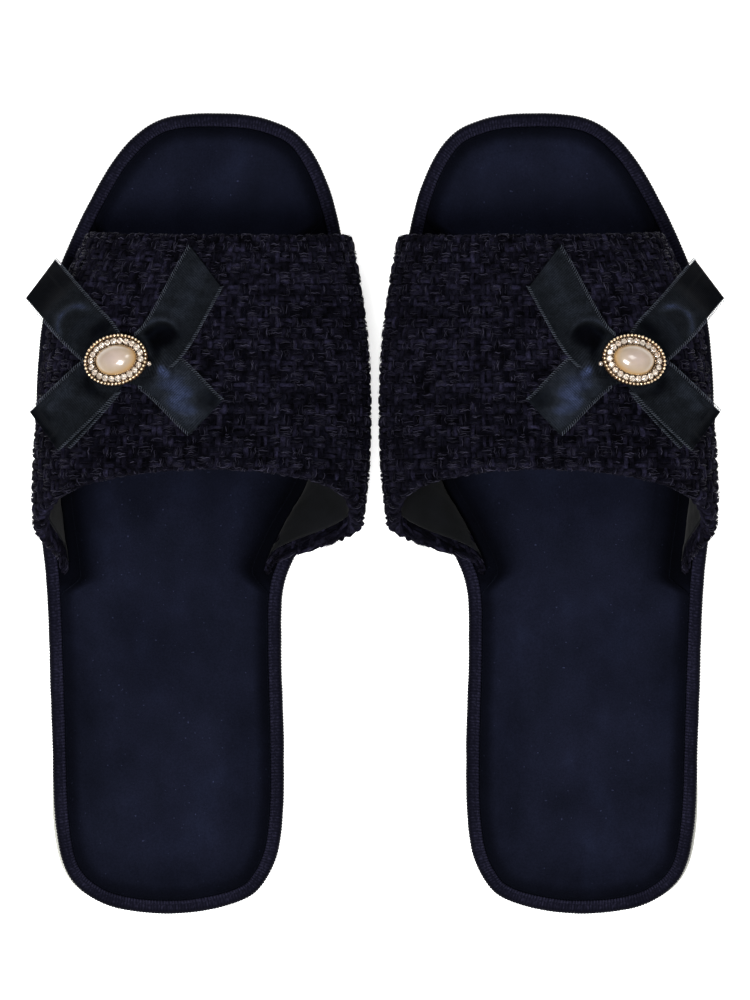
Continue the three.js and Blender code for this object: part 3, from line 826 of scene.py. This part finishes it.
class Strands:
    """Collects tubes of different lengths, with a tone at each point, as one mesh."""

    def __init__(self, sides, flatness=1.0):
        self.sides, self.flatness = sides, flatness
        self.points, self.quads, self.caps, self.tones = [], [], [], []
        self.used = 0

    def add(self, centres, normals, radii, tones):
        points, quads, caps = tube(centres, normals, radii, self.sides, self.flatness)
        self.points.append(points)
        self.quads.append(quads + self.used)
        self.caps.append(caps + self.used)
        self.tones.append(np.repeat(tones, self.sides))
        self.used += len(points)

    def make(self, name, material, slot, replaces=()):
        faces = [np.concatenate(self.quads), np.concatenate(self.caps)]
        tones = np.concatenate(self.tones)
        points = np.concatenate(self.points)
        return pair_of(name, points, faces, material, slot, replaces=replaces, tones=tones)


def weave(along, index):
    """Height of a yarn, from -1 to 1, in a basket weave of two over two."""
    wave = np.sin(math.pi * along / 2 + math.pi * (index // 2))
    return np.tanh(1.7 * wave) / np.tanh(1.7)


def yarn_tones(along, index, height, chance):
    tone = 0.42 + 0.22 * chance + 0.5 * wobble(along, 7.7 * index, 3, 21)
    tone = tone + 0.35 * wobble(along, 3.1 * index, 14, 22)
    # Raised floats painted lighter and dipping yarn painted darker, as light and shade on the weave.
    return np.clip(tone + 0.2 * height, 0, 1)


def lay_yarn(strands, u, back, height, swell, tones):
    """One yarn of the weave, at u across the arch and back along the strap."""
    thin = roll_at(u) / STRAP_THICKNESS * 2
    centres, normals = strap_skin(u, back, (YARN_LEVEL + YARN_WAVE * height) * thin)
    strands.add(centres, normals, YARN_RADIUS * swell * (0.4 + 0.6 * thin), tones)


def make_weft(chance):
    """Yarns that run across the foot, over the arch of the strap."""
    halves = [Strands(6, YARN_FLATNESS), Strands(6, YARN_FLATNESS)]
    arc = np.arange(0, ARCH_LENGTH, 0.5)
    u = u_at(arc)
    length = skin_length(u)
    rows = int((length.max() + 2 * OVER) / PITCH)
    for k in range(rows):
        back = -OVER + (k + 0.5) * PITCH + 0.34 * wobble(arc, 9.0 * k, 10, 31) + 0.14 * chance.normal()
        covered = (back < length + OVER).astype(int)
        starts = np.flatnonzero(np.diff(np.concatenate([[0], covered, [0]])))
        mood = chance.normal()
        for first, last in starts.reshape(-1, 2):
            if last - first < SHORTEST_RUN:
                continue
            part = slice(first, last)
            along = arc[part]
            height = weave(along / PITCH + 0.3 * wobble(along, 5.0 * k, 6, 34), k)
            swell = 0.95 + 0.32 * wobble(along, 11.0 * k, 2.6, 32) + 0.1 * chance.normal()
            tones = yarn_tones(along, k, height, mood)
            lay_yarn(halves[k * 2 // rows], u[part], back[part], height, swell, tones)
    return halves


def make_warp(chance):
    """Yarns that run from the front edge of the strap to its rear edge."""
    halves = [Strands(6, YARN_FLATNESS), Strands(6, YARN_FLATNESS)]
    columns = int(ARCH_LENGTH / PITCH)
    for j in range(columns):
        arc = (j + 0.5) * PITCH + 0.1 * chance.normal()
        total = float(skin_length(u_at(arc))) + 2 * OVER
        back = np.arange(0, total, 0.55)
        sway = u_at(np.clip(arc + 0.36 * wobble(back, 9.0 * j, 9, 41), 0.2, ARCH_LENGTH - 0.2))
        height = -weave(back / PITCH + 0.3 * wobble(back, 5.0 * j, 6, 44), j)
        swell = 0.95 + 0.32 * wobble(back, 11.0 * j, 2.6, 42) + 0.1 * chance.normal()
        tones = yarn_tones(back, j + 40, height, chance.normal())
        lay_yarn(halves[j * 2 // columns], sway, back - OVER, height, swell, tones)
    return halves


def past_rear(arc, back):
    """How far a place on the skin is past the strap's rear edge."""
    return back - float(skin_length(u_at(arc)))


def add_filament(strands, arc, back, half, is_weft, chance):
    """A pale wavy filament on top of one float of a yarn. Its ends dive back into the cloth."""
    t = np.linspace(-1, 1, 8)
    side = chance.normal() * 0.6 + 0.17 * np.sin(t * chance.uniform(1.5, 6.0) + chance.uniform(0, 6.3))
    arc, back = arc + 0.5 * chance.normal(), back + 0.5 * chance.normal()
    ahead = t * half
    arcs, backs = (arc + ahead, back + side) if is_weft else (arc + side, back + ahead)
    u = u_at(np.clip(arcs, 0.1, ARCH_LENGTH - 0.1))
    out = YARN_LEVEL + YARN_WAVE + YARN_RADIUS * 0.92 - 0.6 * np.abs(t) ** 4 - 0.12 * side**2
    centres, normals = strap_skin(u, backs, out)
    radii = chance.uniform(0.05, 0.11) * (1 - 0.35 * t**4)
    strands.add(centres, normals, radii, np.full(8, np.clip(chance.normal(0.5, 0.25), 0, 1)))


def make_filaments(chance):
    """Pale filaments on the floats of the weft, then on those of the warp."""
    strands = Strands(4)
    rows = int((FRONT_Y - REAR_FOOT_Y + 2 * OVER) / PITCH)
    columns = int(ARCH_LENGTH / PITCH)
    for is_weft, yarns, crossings, usual, seed, most, longest in (
        (True, rows, columns, 0.7, 51, 7, 1.9), (False, columns, rows, 0.5, 52, 5, 1.6),
    ):
        for k in range(yarns):
            for crossing in np.arange(1 + 2 * ((k // 2 + (not is_weft)) % 2), crossings, 4):
                place = crossing * PITCH, (k + 0.5) * PITCH
                arc, back = place if is_weft else place[::-1]
                back = back - OVER
                if back < -FILAMENT_REACH or past_rear(arc, back) > FILAMENT_REACH:
                    continue
                thick = usual + 0.6 * float(wobble(arc, back, 9, seed))
                for _ in range(int(chance.random() < thick) * chance.integers(1, most)):
                    add_filament(strands, arc, back, chance.uniform(0.4, longest), is_weft, chance)
    return strands


def make_fuzz(chance):
    """Short stray fibres that stand off the cloth and soften its outline."""
    strands = Strands(3)
    for _ in range(FUZZ_COUNT):
        arc, back = chance.uniform(1, ARCH_LENGTH - 1), chance.uniform(-4, FRONT_Y - REAR_FOOT_Y)
        if past_rear(arc, back) > 4:
            continue
        t = np.linspace(0, 1, 5)
        turn, bend = chance.uniform(0, 6.3), chance.uniform(-1.5, 1.5)
        reach = chance.uniform(0.7, 1.8)
        arcs = np.clip(arc + reach * t * np.cos(turn + bend * t), 0.1, ARCH_LENGTH - 0.1)
        backs = back + reach * t * np.sin(turn + bend * t)
        out = -0.5 + chance.uniform(0.4, 1.05) * np.sin(t * chance.uniform(1.6, 2.9))
        centres, normals = strap_skin(u_at(arcs), backs, out)
        strands.add(centres, normals, np.full(5, 0.045), np.full(5, chance.uniform(0.3, 0.9)))
    return strands


def two_faced(outer, inner):
    """Points and faces of a thin closed sheet from two grids of the same size."""
    rows, columns = outer.shape[:2]
    count = rows * columns
    points = np.concatenate([outer.reshape(-1, 3), inner.reshape(-1, 3)])
    faces = [grid_faces(rows, columns), grid_faces(rows, columns, start=count)[:, ::-1]]
    index = np.arange(count).reshape(rows, columns)
    rim = np.concatenate([index[0, :-1], index[:-1, -1], index[-1, :0:-1], index[:0:-1, 0]])
    after = np.roll(rim, -1)
    faces.append(np.stack([after, rim, rim + count, after + count], 1))
    return points, faces


def make_ground_cloth():
    """Cloth under the yarns, wrapped round the strap's edges, painted dark as the shade in the gaps of the weave.
    """
    u = u_at(np.linspace(0, ARCH_LENGTH, 150))[None]
    share = np.linspace(0, 1, 130)[:, None]
    back = -OVER + share * (skin_length(u) + 2 * OVER)
    u = u + 0 * share
    outer, _ = strap_skin(u, back, -0.62 * roll_at(u))
    inner, _ = strap_skin(u, back, -0.78 * roll_at(u))
    points, faces = two_faced(outer, inner)
    # A low tone: painted shade between the yarns.
    tones = 0.12 + 0 * points[:, 0]
    cloths = pair_of(
        "strap_ground_cloth", points, faces, yarn_look(), "tweed", replaces=["strap_tweed"], tones=tones
    )


def slab(offsets, edge_in, across, along, wrinkle=0.0):
    """A layer inside the strap, between two offsets from its inner face, and that layer's outer grid."""
    u = u_at(np.linspace(0, ARCH_LENGTH, across))[None]
    share = np.linspace(0, 1, along)[:, None]
    y = FRONT_Y - edge_in - share * (FRONT_Y - rear_y(u) - 2 * edge_in)
    u = u + 0 * share
    here, normal = strap_inner(u, y), strap_normal(u, y)
    arc = np.interp(u, ARCH_U, ARCH_ARC)
    rise = wrinkle * (wobble(arc, y, 12, 61) + 0.5 * wobble(arc, y, 4.5, 62))
    squeeze = STRAP_THICKNESS - 2 * roll_at(u)
    thin = 1 - squeeze / STRAP_THICKNESS
    inner, outer = (here + normal * (offset * thin + squeeze + rise)[..., None] for offset in offsets)
    return two_faced(outer, inner), outer


def make_strap():
    chance = np.random.default_rng(7)
    material = yarn_look()
    make_ground_cloth()
    for kind, halves, places in (
        ("weft", make_weft(chance), ("front", "rear")),
        ("warp", make_warp(chance), ("outer", "inner")),
    ):
        for strands, place in zip(halves, places):
            strands.make(f"strap_{kind}_{place}", material, "tweed")
    make_filaments(chance).make("strap_filaments", filament_look(), "tweed")
    make_fuzz(chance).make("strap_fuzz", material, "tweed")
    (points, faces), _ = slab((1.98, 3.0), 3.2, 90, 50)
    pair_of("strap_foam", points, faces, foam_look("strap foam"), "foam", replaces=["strap_foam"])
    (points, faces), face = slab((-0.45, 0.1), 5.2, 200, 110, 0.28)
    linings = pair_of("strap_lining", points, faces, lining_look(), "lining", replaces=["strap_lining"])


# ---------- Brooch frame ----------
OVAL_TURN = 8  # degrees that the oval is turned on the strap
BOW_DEPTH = 2.55  # from the brooch's underside down to the strap


def brooch_frame():
    """Middle of the brooch's underside and its three directions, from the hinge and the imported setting."""
    joint = next(j for j in frame["joints"] if j["name"] == "left_brooch_turn")
    axis = unit(np.array(joint["axis"], float))
    place = np.array(joint["pos_m"], float) / MM
    corners = np.array([v.co for v in frame["nodes"]["left_brooch_setting"].data.vertices]) / MM
    lowest = ((corners - place) @ axis).min()
    oval_turn = Matrix.Rotation(math.radians(OVAL_TURN), 3, "Z").to_quaternion()
    turn = Vector((0, 0, 1)).rotation_difference(Vector(axis)) @ oval_turn
    return place + axis * lowest, np.array(turn.to_matrix())


BROOCH_PLACE, BROOCH_TURN = brooch_frame()
BROOCH_X, BROOCH_Y = BROOCH_PLACE[:2] - BROOCH_TURN[:2, 2] * BOW_DEPTH
HALF_LENGTH, HALF_WIDTH = 10.5, 8.2

# ---------- Bow ----------
RIBBON_WIDTH = 15.0
RIBBON_THICKNESS = 0.35
BOW_SHIFT = np.array([-0.7, 0.7])
RIBBONS = {
    "lower": {
        "line": [(-24.9, 26.0), (-9.0, 8.2), (0.0, 0.0), (10.5, -2.2), (27.9, -18.3)], "cuts": (-3.0, 0.0),
    },
    "upper": {
        "line": [(-23.6, -22.6), (-9.0, -8.6), (0.0, 0.0), (11.5, 3.4), (27.8, 29.8)], "cuts": (2.0, 6.0),
    },
}
LEAVE_X = BROOCH_X - 4


def skin_tree():
    u = u_at(np.linspace(0, ARCH_LENGTH, 160))[None]
    share = np.linspace(0, 1, 110)[:, None]
    back = share * skin_length(u)
    points, _ = strap_skin(u + 0 * share, back, np.full(back.shape, 0.15))
    faces = grid_faces(110, 160)
    return BVHTree.FromPolygons([Vector(p) for p in points.reshape(-1, 3)], faces.tolist())


SKIN = skin_tree()


def skin_height(x, y):
    hit = SKIN.ray_cast(Vector((x, y, 200)), Vector((0, 0, -1)))[0]
    return hit.z if hit else STRAP_FOOT


def bow_height(x, y):
    """Height on which a ribbon lies. Past the brooch it runs straight on, off the strap's shoulder."""
    z = skin_height(max(x, LEAVE_X), y)
    if x >= LEAVE_X:
        return z
    slope = (skin_height(LEAVE_X + 4, y) - skin_height(LEAVE_X - 4, y)) / 8
    return z + min(slope, 0.9) * (x - LEAVE_X)


def valley(x, y, a, b, width):
    """1 along the line from a to b on the floor, fading over a width to each side."""
    a, b = np.array(a, float), np.array(b, float)
    run = b - a
    share = np.clip(((x - a[0]) * run[0] + (y - a[1]) * run[1]) / (run @ run), 0, 1)
    away = np.hypot(x - a[0] - share * run[0], y - a[1] - share * run[1])
    return np.exp(-((away / width) ** 2))


def arch_band(x, y, middle, radius, width, facing):
    """1 along the part of a circle that faces a direction, fading over a width to each side."""
    dx, dy = x - middle[0], y - middle[1]
    away = np.hypot(dx, dy)
    toward = (dx * facing[0] + dy * facing[1]) / np.maximum(away, 1e-6) / math.hypot(*facing)
    return np.exp(-(((away - radius) / width) ** 2)) * smooth(toward, -0.1, 0.7)


def dome(x, y, middle, radii, turn=0.0):
    """1 in the middle of an oval, falling to 0 past its edge. turn is in degrees."""
    c, s = math.cos(math.radians(turn)), math.sin(math.radians(turn))
    dx, dy = x - middle[0], y - middle[1]
    reach = ((dx * c + dy * s) / radii[0]) ** 2 + ((dy * c - dx * s) / radii[1]) ** 2
    return np.exp(-(reach**1.6))


def ribbon_features(x, y):
    """Lifts of the folds that show on the bow, and the tones of their painted highlights and shade, by place from
    the brooch's middle.
    """
    x, y = x - BOW_SHIFT[0], y - BOW_SHIFT[1]
    # Hollow beside the brooch: sunk, with painted shade in it.
    hollow = np.maximum(dome(x, y, (13.6, 7.6), (5.8, 3.6), 14), 0.8 * dome(x, y, (10.4, 3.6), (3.4, 3.4)))
    # Painted highlight on the lower right arm and its ridge.
    painted_highlight = dome(x, y, (19.8, -10.8), (10.4, 6.6), -47) * (0.86 + 0.2 * wobble(x, y, 4, 77))
    painted_highlight = np.maximum(painted_highlight, valley(x, y, (13.2, -2.6), (15.5, -4.6), 2.0))
    # Tucks where the ribbons pass under the brooch: sunk, with painted shade.
    tuck_and_shade = dome(x, y, (-5.0, 9.5), (4.0, 2.6), 45) + dome(x, y, (-8.0, -8.0), (3.0, 3.6), 45)
    folds = (  # lift, tone and where
        # Tone below is painted light: above 0 a painted highlight, below 0 painted shade.
        (-1.1, -0.7, hollow),
        (0.0, 0.34, painted_highlight),
        (-0.5, -0.3, tuck_and_shade),
        # Painted shadow of the brooch on the ribbons round it.
        (0.0, -0.16, 1 - smooth(np.hypot(x, y), 10.0, 14.5)),
        # upper left: swell with a little painted shade, its painted highlight, and the end that hangs over in
        # painted shade
        (1.5, -0.06, dome(x, y, (-13.2, 10.8), (6.4, 6.0))),
        (0.4, 0.36, arch_band(x, y, (-13.0, 10.8), 6.3, 1.25, (-0.85, 0.9))),
        (-0.9, -0.3, smooth(y - x, 36, 42) * (x < 0)),
        # upper right: rim of the hollow with a painted highlight, and a band of painted sheen
        (1.1, 0.22, arch_band(x, y, (13.5, 6.5), 6.4, 1.0, (-0.1, 1))),
        (0.5, 0.12, valley(x, y, (16.5, 15.0), (26.5, 29.0), 3.0)),
        # lower right: ridge with a painted highlight, and a corner in painted shade
        (1.0, 0.08, valley(x, y, (13.5, -4.0), (23.0, -18.5), 4.2)),
        (-0.6, -0.3, dome(x, y, (28.0, -12.5), (4.0, 3.0))),
        # lower left: raised crease with a painted highlight, and turned-down end in painted shade
        (0.7, 0.16, valley(x, y, (-16.0, -9.0), (-21.5, -14.5), 2.4)),
        (-1.0, -0.3, valley(x, y, (-27.5, -17.0), (-20.5, -25.5), 2.0)),
    )
    return [sum(fold[k] * fold[2] for fold in folds) for k in (0, 1)]


class Ribbon:
    """A satin ribbon through the middle of the bow, as a grid of places along and across it."""

    def __init__(self, spec, layer, shift=0.0, reach=(0.0, 1.0), sink=0.0, along=170, across=26):
        t = np.linspace(*reach, along)[:, None]
        w = np.linspace(-0.5, 0.5, across)[None]
        from_middle = np.abs(2 * t - 1)
        self.layer = layer
        line = catmull(spec["line"], t[:, 0], False) + BOW_SHIFT * smooth(from_middle, 0.1, 0.5)
        ahead = unit(np.gradient(line, axis=0))
        gather = 1 - 0.3 * bump(t, 0.5, 0.14)
        cut = np.where(t < 0.5, *spec["cuts"]) * from_middle**3
        wander = 0.25 * wobble(t * 70, 0 * t, 14, 71 + layer)
        off = (w * RIBBON_WIDTH * gather + shift * from_middle + wander)[..., None]
        flat = line[:, None] + left_of(ahead)[:, None] * off + ahead[:, None] * (w * cut)[..., None]
        x, y = flat[..., 0], flat[..., 1]
        lift, tone = ribbon_features(x, y)
        away = np.hypot(x, y)
        open_share = smooth(away, 9.5, 13.0)
        pleat = 0.4 * np.cos(w * 2 * math.pi * 2.2) * bump(away, 11.5, 4.0)
        curl = 0.55 * np.abs(2 * w) ** 5
        end_dip = -1.3 * smooth(away, 27, 33) * (w * (1 if layer else -1) > -0.2)
        soft = 0.3 * wobble(x, y, 13, 72)
        over = layer * 0.95 * (1 - smooth(away, 19, 27)) + 0.5 - sink
        rise = over + open_share * (lift + pleat + curl + soft + end_dip + 0.6)
        floor = [bow_height(px, py) for px, py in zip(x.ravel() + BROOCH_X, y.ravel() + BROOCH_Y)]
        rise = np.where(x > -12, np.maximum(rise, 0.45 + 0.4 * layer - sink), rise)
        if not layer:
            rise = np.minimum(rise, 0.65 + 3 * smooth(away, 15, 21))
        self.grid = np.dstack([x + BROOCH_X, y + BROOCH_Y, np.reshape(floor, x.shape) + rise])
        # The tone carries the painted highlights and shade; the sunk second layer is also painted darker, as shade
        # under the upper ribbon.
        self.tones = np.clip(0.48 + tone * open_share + 0.1 * wobble(x, y, 7, 75) - 0.3 * sink, 0, 1)
        self.normals = unit(np.cross(np.gradient(self.grid, axis=0), np.gradient(self.grid, axis=1)))
        self.normals *= np.sign(self.normals[..., 2:])

    def make(self, name, material, replaces=()):
        lower = self.grid - self.normals * RIBBON_THICKNESS
        grids = [self.grid, lower]
        if np.cross(self.grid[1, 0] - self.grid[0, 0], self.grid[0, 1] - self.grid[0, 0])[2] > 0:
            grids = [lower, self.grid]
        points, faces = two_faced(*grids)
        tones = np.concatenate([self.tones.ravel()] * 2)
        across = self.grid.shape[1]
        arc = arc_along(self.grid[:, across // 2])
        reach = np.concatenate([np.repeat(arc, across)] * 2)
        pieces = pair_of(name, points, faces, material, "satin", replaces=replaces, tones=tones, reach=reach)

    def picot(self, strands, cover=None):
        """Slanted loops of thread along both edges, where no ribbon covers them."""
        for column, outward in ((0, -1), (-1, 1)):
            edge, normal = self.grid[:, column], self.normals[:, column]
            steps = arc_along(edge)
            for place in np.arange(0.3, steps[-1] - 0.2, 0.82):
                here, beyond = read_off(place, steps, edge), read_off(place + 0.3, steps, edge)
                dx, dy = here[0] - BROOCH_X, here[1] - BROOCH_Y
                if np.hypot(dx, dy) < 9.5 + 6.5 * (self.layer == 1 and dx > 0 > dy):
                    continue
                if cover is not None and np.hypot(*(cover.grid - here)[..., :2].T).min() < 0.5:
                    continue
                up = read_off(place, steps, normal)
                along = unit(beyond - here)
                out = unit(np.cross(along, up)) * -outward
                t = np.linspace(0, 1, 7)[:, None]
                loop = here + out * (0.95 * np.sin(t * math.pi * 0.62) - 0.25) + along * (0.85 * t - 0.2)
                loop = loop + up * (0.12 + 0.14 * np.sin(t * math.pi))
                strands.add(loop, np.repeat(up[None], 7, 0), np.full(7, 0.105), np.full(7, 0.5))


def make_bow():
    satin = satin_look()
    lower = Ribbon(RIBBONS["lower"], 0)
    upper = Ribbon(RIBBONS["upper"], 1)
    second = Ribbon(RIBBONS["upper"], 0, shift=-1.9, reach=(0.035, 0.42), sink=0.25, along=80)
    lower.make("ribbon_lower", satin, ["ribbon_lower"])
    upper.make("ribbon_upper", satin, ["ribbon_upper"])
    second.make("ribbon_second_layer", satin)
    strands = Strands(5)
    upper.picot(strands)
    lower.picot(strands, upper)
    second.picot(strands, upper)
    strands.make("ribbon_picot", picot_look(), "satin")


# ---------- Brooch ----------
STONES = 22
PEARL_LENGTH, PEARL_WIDTH = 6.8, 4.95


def oval(inset, z, steps=128):
    angle = circle(steps)
    flat = [(HALF_LENGTH - inset) * np.cos(angle), (HALF_WIDTH - inset) * np.sin(angle)]
    return np.stack([*flat, np.full(steps, z)], 1)


def oval_places(inset, z, count, start=0.0):
    """Places at even steps round an oval, and the directions outwards there."""
    fine = oval(inset, z, 2000)
    arc = arc_along(fine, True)
    points = read_off((np.arange(count) + start) / count * arc[-1], arc, np.vstack([fine, fine[:1]]))
    normal = points[:, :2] / ((HALF_LENGTH - inset) ** 2, (HALF_WIDTH - inset) ** 2)
    return points, unit(np.column_stack([normal, np.zeros(count)]))


def small_ball(segments=10, rings=7):
    angle = circle(segments)
    tilt = np.linspace(-math.pi / 2, math.pi / 2, rings + 2)[1:-1, None]
    ring = np.dstack([np.cos(tilt) * np.cos(angle), np.cos(tilt) * np.sin(angle), np.sin(tilt) + 0 * angle])
    return stack(ring, (0, 0, -1), (0, 0, 1))


def join(shapes):
    """One mesh from several (points, faces) pairs."""
    points, faces, used = [], [], 0
    for shape_points, shape_faces in shapes:
        points.append(shape_points)
        faces += [np.asarray(f) + used for f in shape_faces if len(f)]
        used += len(shape_points)
    return np.concatenate(points), faces


def copies(shape, places, turns, scales):
    """One mesh of many turned and scaled copies of a small shape."""
    points, faces = shape
    spots = zip(places, turns, scales)
    return join(((points * scale) @ turn.T + place, faces) for place, turn, scale in spots)


def upright(outward, lean=0.0):
    """Rotations that put z up, x outwards, with the top leaning outwards by an angle."""
    turns = []
    for out in outward:
        side = np.array([-out[1], out[0], 0])
        top = np.array([out[0] * math.sin(lean), out[1] * math.sin(lean), math.cos(lean)])
        turns.append(np.stack([np.cross(side, top), side, top], 1))
    return turns


def brilliant():
    """A round cut stone of radius 1: table, crown facets, girdle and pavilion."""
    rings = []
    for radius, z, start in ((0.55, 0.42, 0.5), (0.82, 0.24, 0), (1.0, 0.06, 0.5), (1.0, -0.04, 0.5)):
        angle = circle(8, start)
        rings.append(np.stack([radius * np.cos(angle), radius * np.sin(angle), np.full(8, z)], 1))
    points = np.vstack([*rings, [[0, 0, -0.8], [0, 0, 0.42]]])
    point_below, point_above = np.full(8, 32), np.full(8, 33)
    i = np.arange(8)
    after, before = (i + 1) % 8, (i - 1) % 8
    corners = [
        (point_above, i, after), (i, 8 + i, 8 + after), (i, 8 + after, after), (8 + i, 16 + before, 16 + i),
        (8 + i, 16 + i, 8 + after), (16 + i, 24 + i, 24 + after), (16 + i, 24 + after, 16 + after),
        (24 + after, 24 + i, point_below),
    ]
    return points, [np.concatenate([np.stack(facet, 1) for facet in corners])]


def setting_cup():
    """The gold cup: a flared foot, a waist, a rim, the stones' channel and the pearl's collar."""
    profile = [
        (1.6, 0.0), (0.7, 0.15), (0.35, 0.5), (0.2, 0.9), (0.3, 1.15), (0.75, 1.3), (0.8, 1.55), (0.45, 1.75),
        (0.2, 2.05), (0.15, 2.3), (0.35, 2.5), (0.7, 2.5), (0.95, 2.25), (1.0, 1.6), (3.0, 1.45), (3.2, 2.3),
        (3.45, 2.45), (3.6, 2.2), (3.7, 1.5),
    ]
    return stack([oval(inset, z) for inset, z in profile], (0, 0, 0), (0, 0, 1.5))


def make_brooch():
    chance = np.random.default_rng(19)
    # Each gold piece carries its own painted brightness in the gold finish, a shade from 0 to 1: the cup dark
    # antique brown, the top bead ring light as a painted highlight, the lower bead ring dark in painted shade, the
    # inner bead ring and the claws between.
    shapes, shades = [setting_cup()], [0.3]
    for inset, z, count, size, start, shade in (
        (0.42, 2.45, 46, 0.47, 0.0, 1.0), (0.4, 1.0, 42, 0.4, 0.5, 0.35), (3.45, 2.5, 46, 0.22, 0.0, 0.7),
    ):
        places, outward = oval_places(inset, z, count, start)
        scales = size * chance.uniform(0.93, 1.06, count)
        shapes.append(copies(small_ball(), places, upright(outward), scales))
        shades.append(shade)
    for inset, size in ((1.15, (0.3, 0.2, 0.42)), (3.05, (0.24, 0.18, 0.36))):
        places, outward = oval_places(inset, 2.45, STONES)
        shapes.append(copies(small_ball(8, 5), places, upright(outward), [np.array(size)] * STONES))
        shades.append(0.6)
    points, faces = join(shapes)
    tones = np.concatenate([np.full(len(shape[0]), shade) for shape, shade in zip(shapes, shades)])
    brooch_piece("setting", points, faces, gold_look(), "gold", tones=tones)

    places, outward = oval_places(2.1, 2.3, STONES, 0.5)
    turns = [
        turn @ np.array(Matrix.Rotation(chance.uniform(0, 1), 3, "Z")) for turn in upright(outward, 0.12)
    ]
    cut = copies(brilliant(), places, turns, chance.uniform(0.98, 1.1, STONES))
    pin_head = copies(small_ball(12, 9), [np.array([10.5, -2.8, 0.9])], upright([[1.0, 0.0, 0.0]]), [0.75])
    brooch_piece("stones", *join([cut, pin_head]), stone_look(), "stones", flat=True)

    angle = circle(96)
    rise = np.linspace(0, math.pi / 2, 26)[:-1, None]
    shrink = np.cos(rise) ** 0.92 * (1 + 0.012 * np.sin(3 * angle + 0.6) + 0.008 * np.sin(5 * angle))
    x, y = PEARL_LENGTH * shrink * np.cos(angle), PEARL_WIDTH * shrink * np.sin(angle)
    z = 1.6 + 4.1 * np.sin(rise) * (1 + 0.02 * np.sin(2 * angle + 1) * np.cos(rise))
    points, faces = stack(np.dstack([x, y, z]), (0, 0, 1.6), (0, 0, 5.7))
    # Painted sheen: cream-gold towards the rim, as the pearl's lustre at a glancing angle.
    tones = np.hypot(points[:, 0] / 6.7, points[:, 1] / 4.75) ** 2
    brooch_piece("pearl", points, faces, pearl_look(), "pearl", tones=tones)


def brooch_piece(name, points, faces, material, slot, **more):
    points = points @ BROOCH_TURN.T + BROOCH_PLACE
    pair_of(f"brooch_{name}", points, faces, material, slot, "brooch", [f"brooch_{name}"], **more)


# ---------- Floor, light and camera ----------
PICTURE_HEIGHT = 319.0
PICTURE_MIDDLE = (0.0, 4.3)
CAMERA_HEIGHT = 9000.0
FLOOR_HALF = 4000.0
FLOOR_SHADE = 0.93, 0.95


def area_light(name, place, size, power, target=(0, 0, 0)):
    light = bpy.data.lights.new(name, "AREA")
    light.shape = "RECTANGLE"
    light.size, light.size_y = (s * MM for s in size)
    light.energy = power
    lamp = bpy.data.objects.new(name, light)
    lamp.location = Vector(place) * MM
    lamp.rotation_euler = (Vector(target) * MM - lamp.location).to_track_quat("-Z", "Y").to_euler()
    bpy.context.scene.collection.objects.link(lamp)


def make_stage():
    floor_look = Look("floor", Roughness=0.9, Specular_IOR_Level=0.0)
    dark, light = FLOOR_SHADE
    floor_look.set("Base Color", floor_look.tint((dark,) * 3, (900, 1), 1.0, light / dark))
    floor_look.set("Emission Color", (1, 1, 1, 1))
    floor_look.set("Emission Strength", 0.6)
    points = np.array([(-1, -1, 0), (1, -1, 0), (1, 1, 0), (-1, 1, 0)]) * FLOOR_HALF
    mesh = make_mesh("floor", points, [np.array([[0, 1, 2, 3]])])
    mesh.materials.append(floor_look.material)
    floor = bpy.data.objects.new("floor", mesh)
    bpy.context.scene.collection.objects.link(floor)
    world = bpy.data.worlds.new("studio")
    bpy.context.scene.world = world
    world.use_nodes = True
    background = world.node_tree.nodes["Background"]
    background.inputs["Color"].default_value = (1, 1, 1, 1)
    background.inputs["Strength"].default_value = 0.4
    area_light("key", (-180, -300, 1350), (520, 420), 26, (0, 20, 0))
    area_light("fill", (500, 500, 1300), (500, 500), 5)
    bpy.context.scene.view_settings.view_transform = "Standard"


def make_camera():
    camera = bpy.data.cameras.new("camera")
    camera.sensor_fit = "VERTICAL"
    camera.sensor_height = 36
    camera.lens = 36 * CAMERA_HEIGHT / PICTURE_HEIGHT
    camera.clip_start, camera.clip_end = 0.1, 30
    eye = bpy.data.objects.new("camera", camera)
    eye.location = Vector((*PICTURE_MIDDLE, CAMERA_HEIGHT + TAPE_TOP)) * MM
    bpy.context.scene.collection.objects.link(eye)
    bpy.context.scene.camera = eye


make_camera()
make_stage()
finish_hidden_nodes()
make_outsole()
make_velvet()
make_binding()
make_strap()
make_bow()
make_brooch()
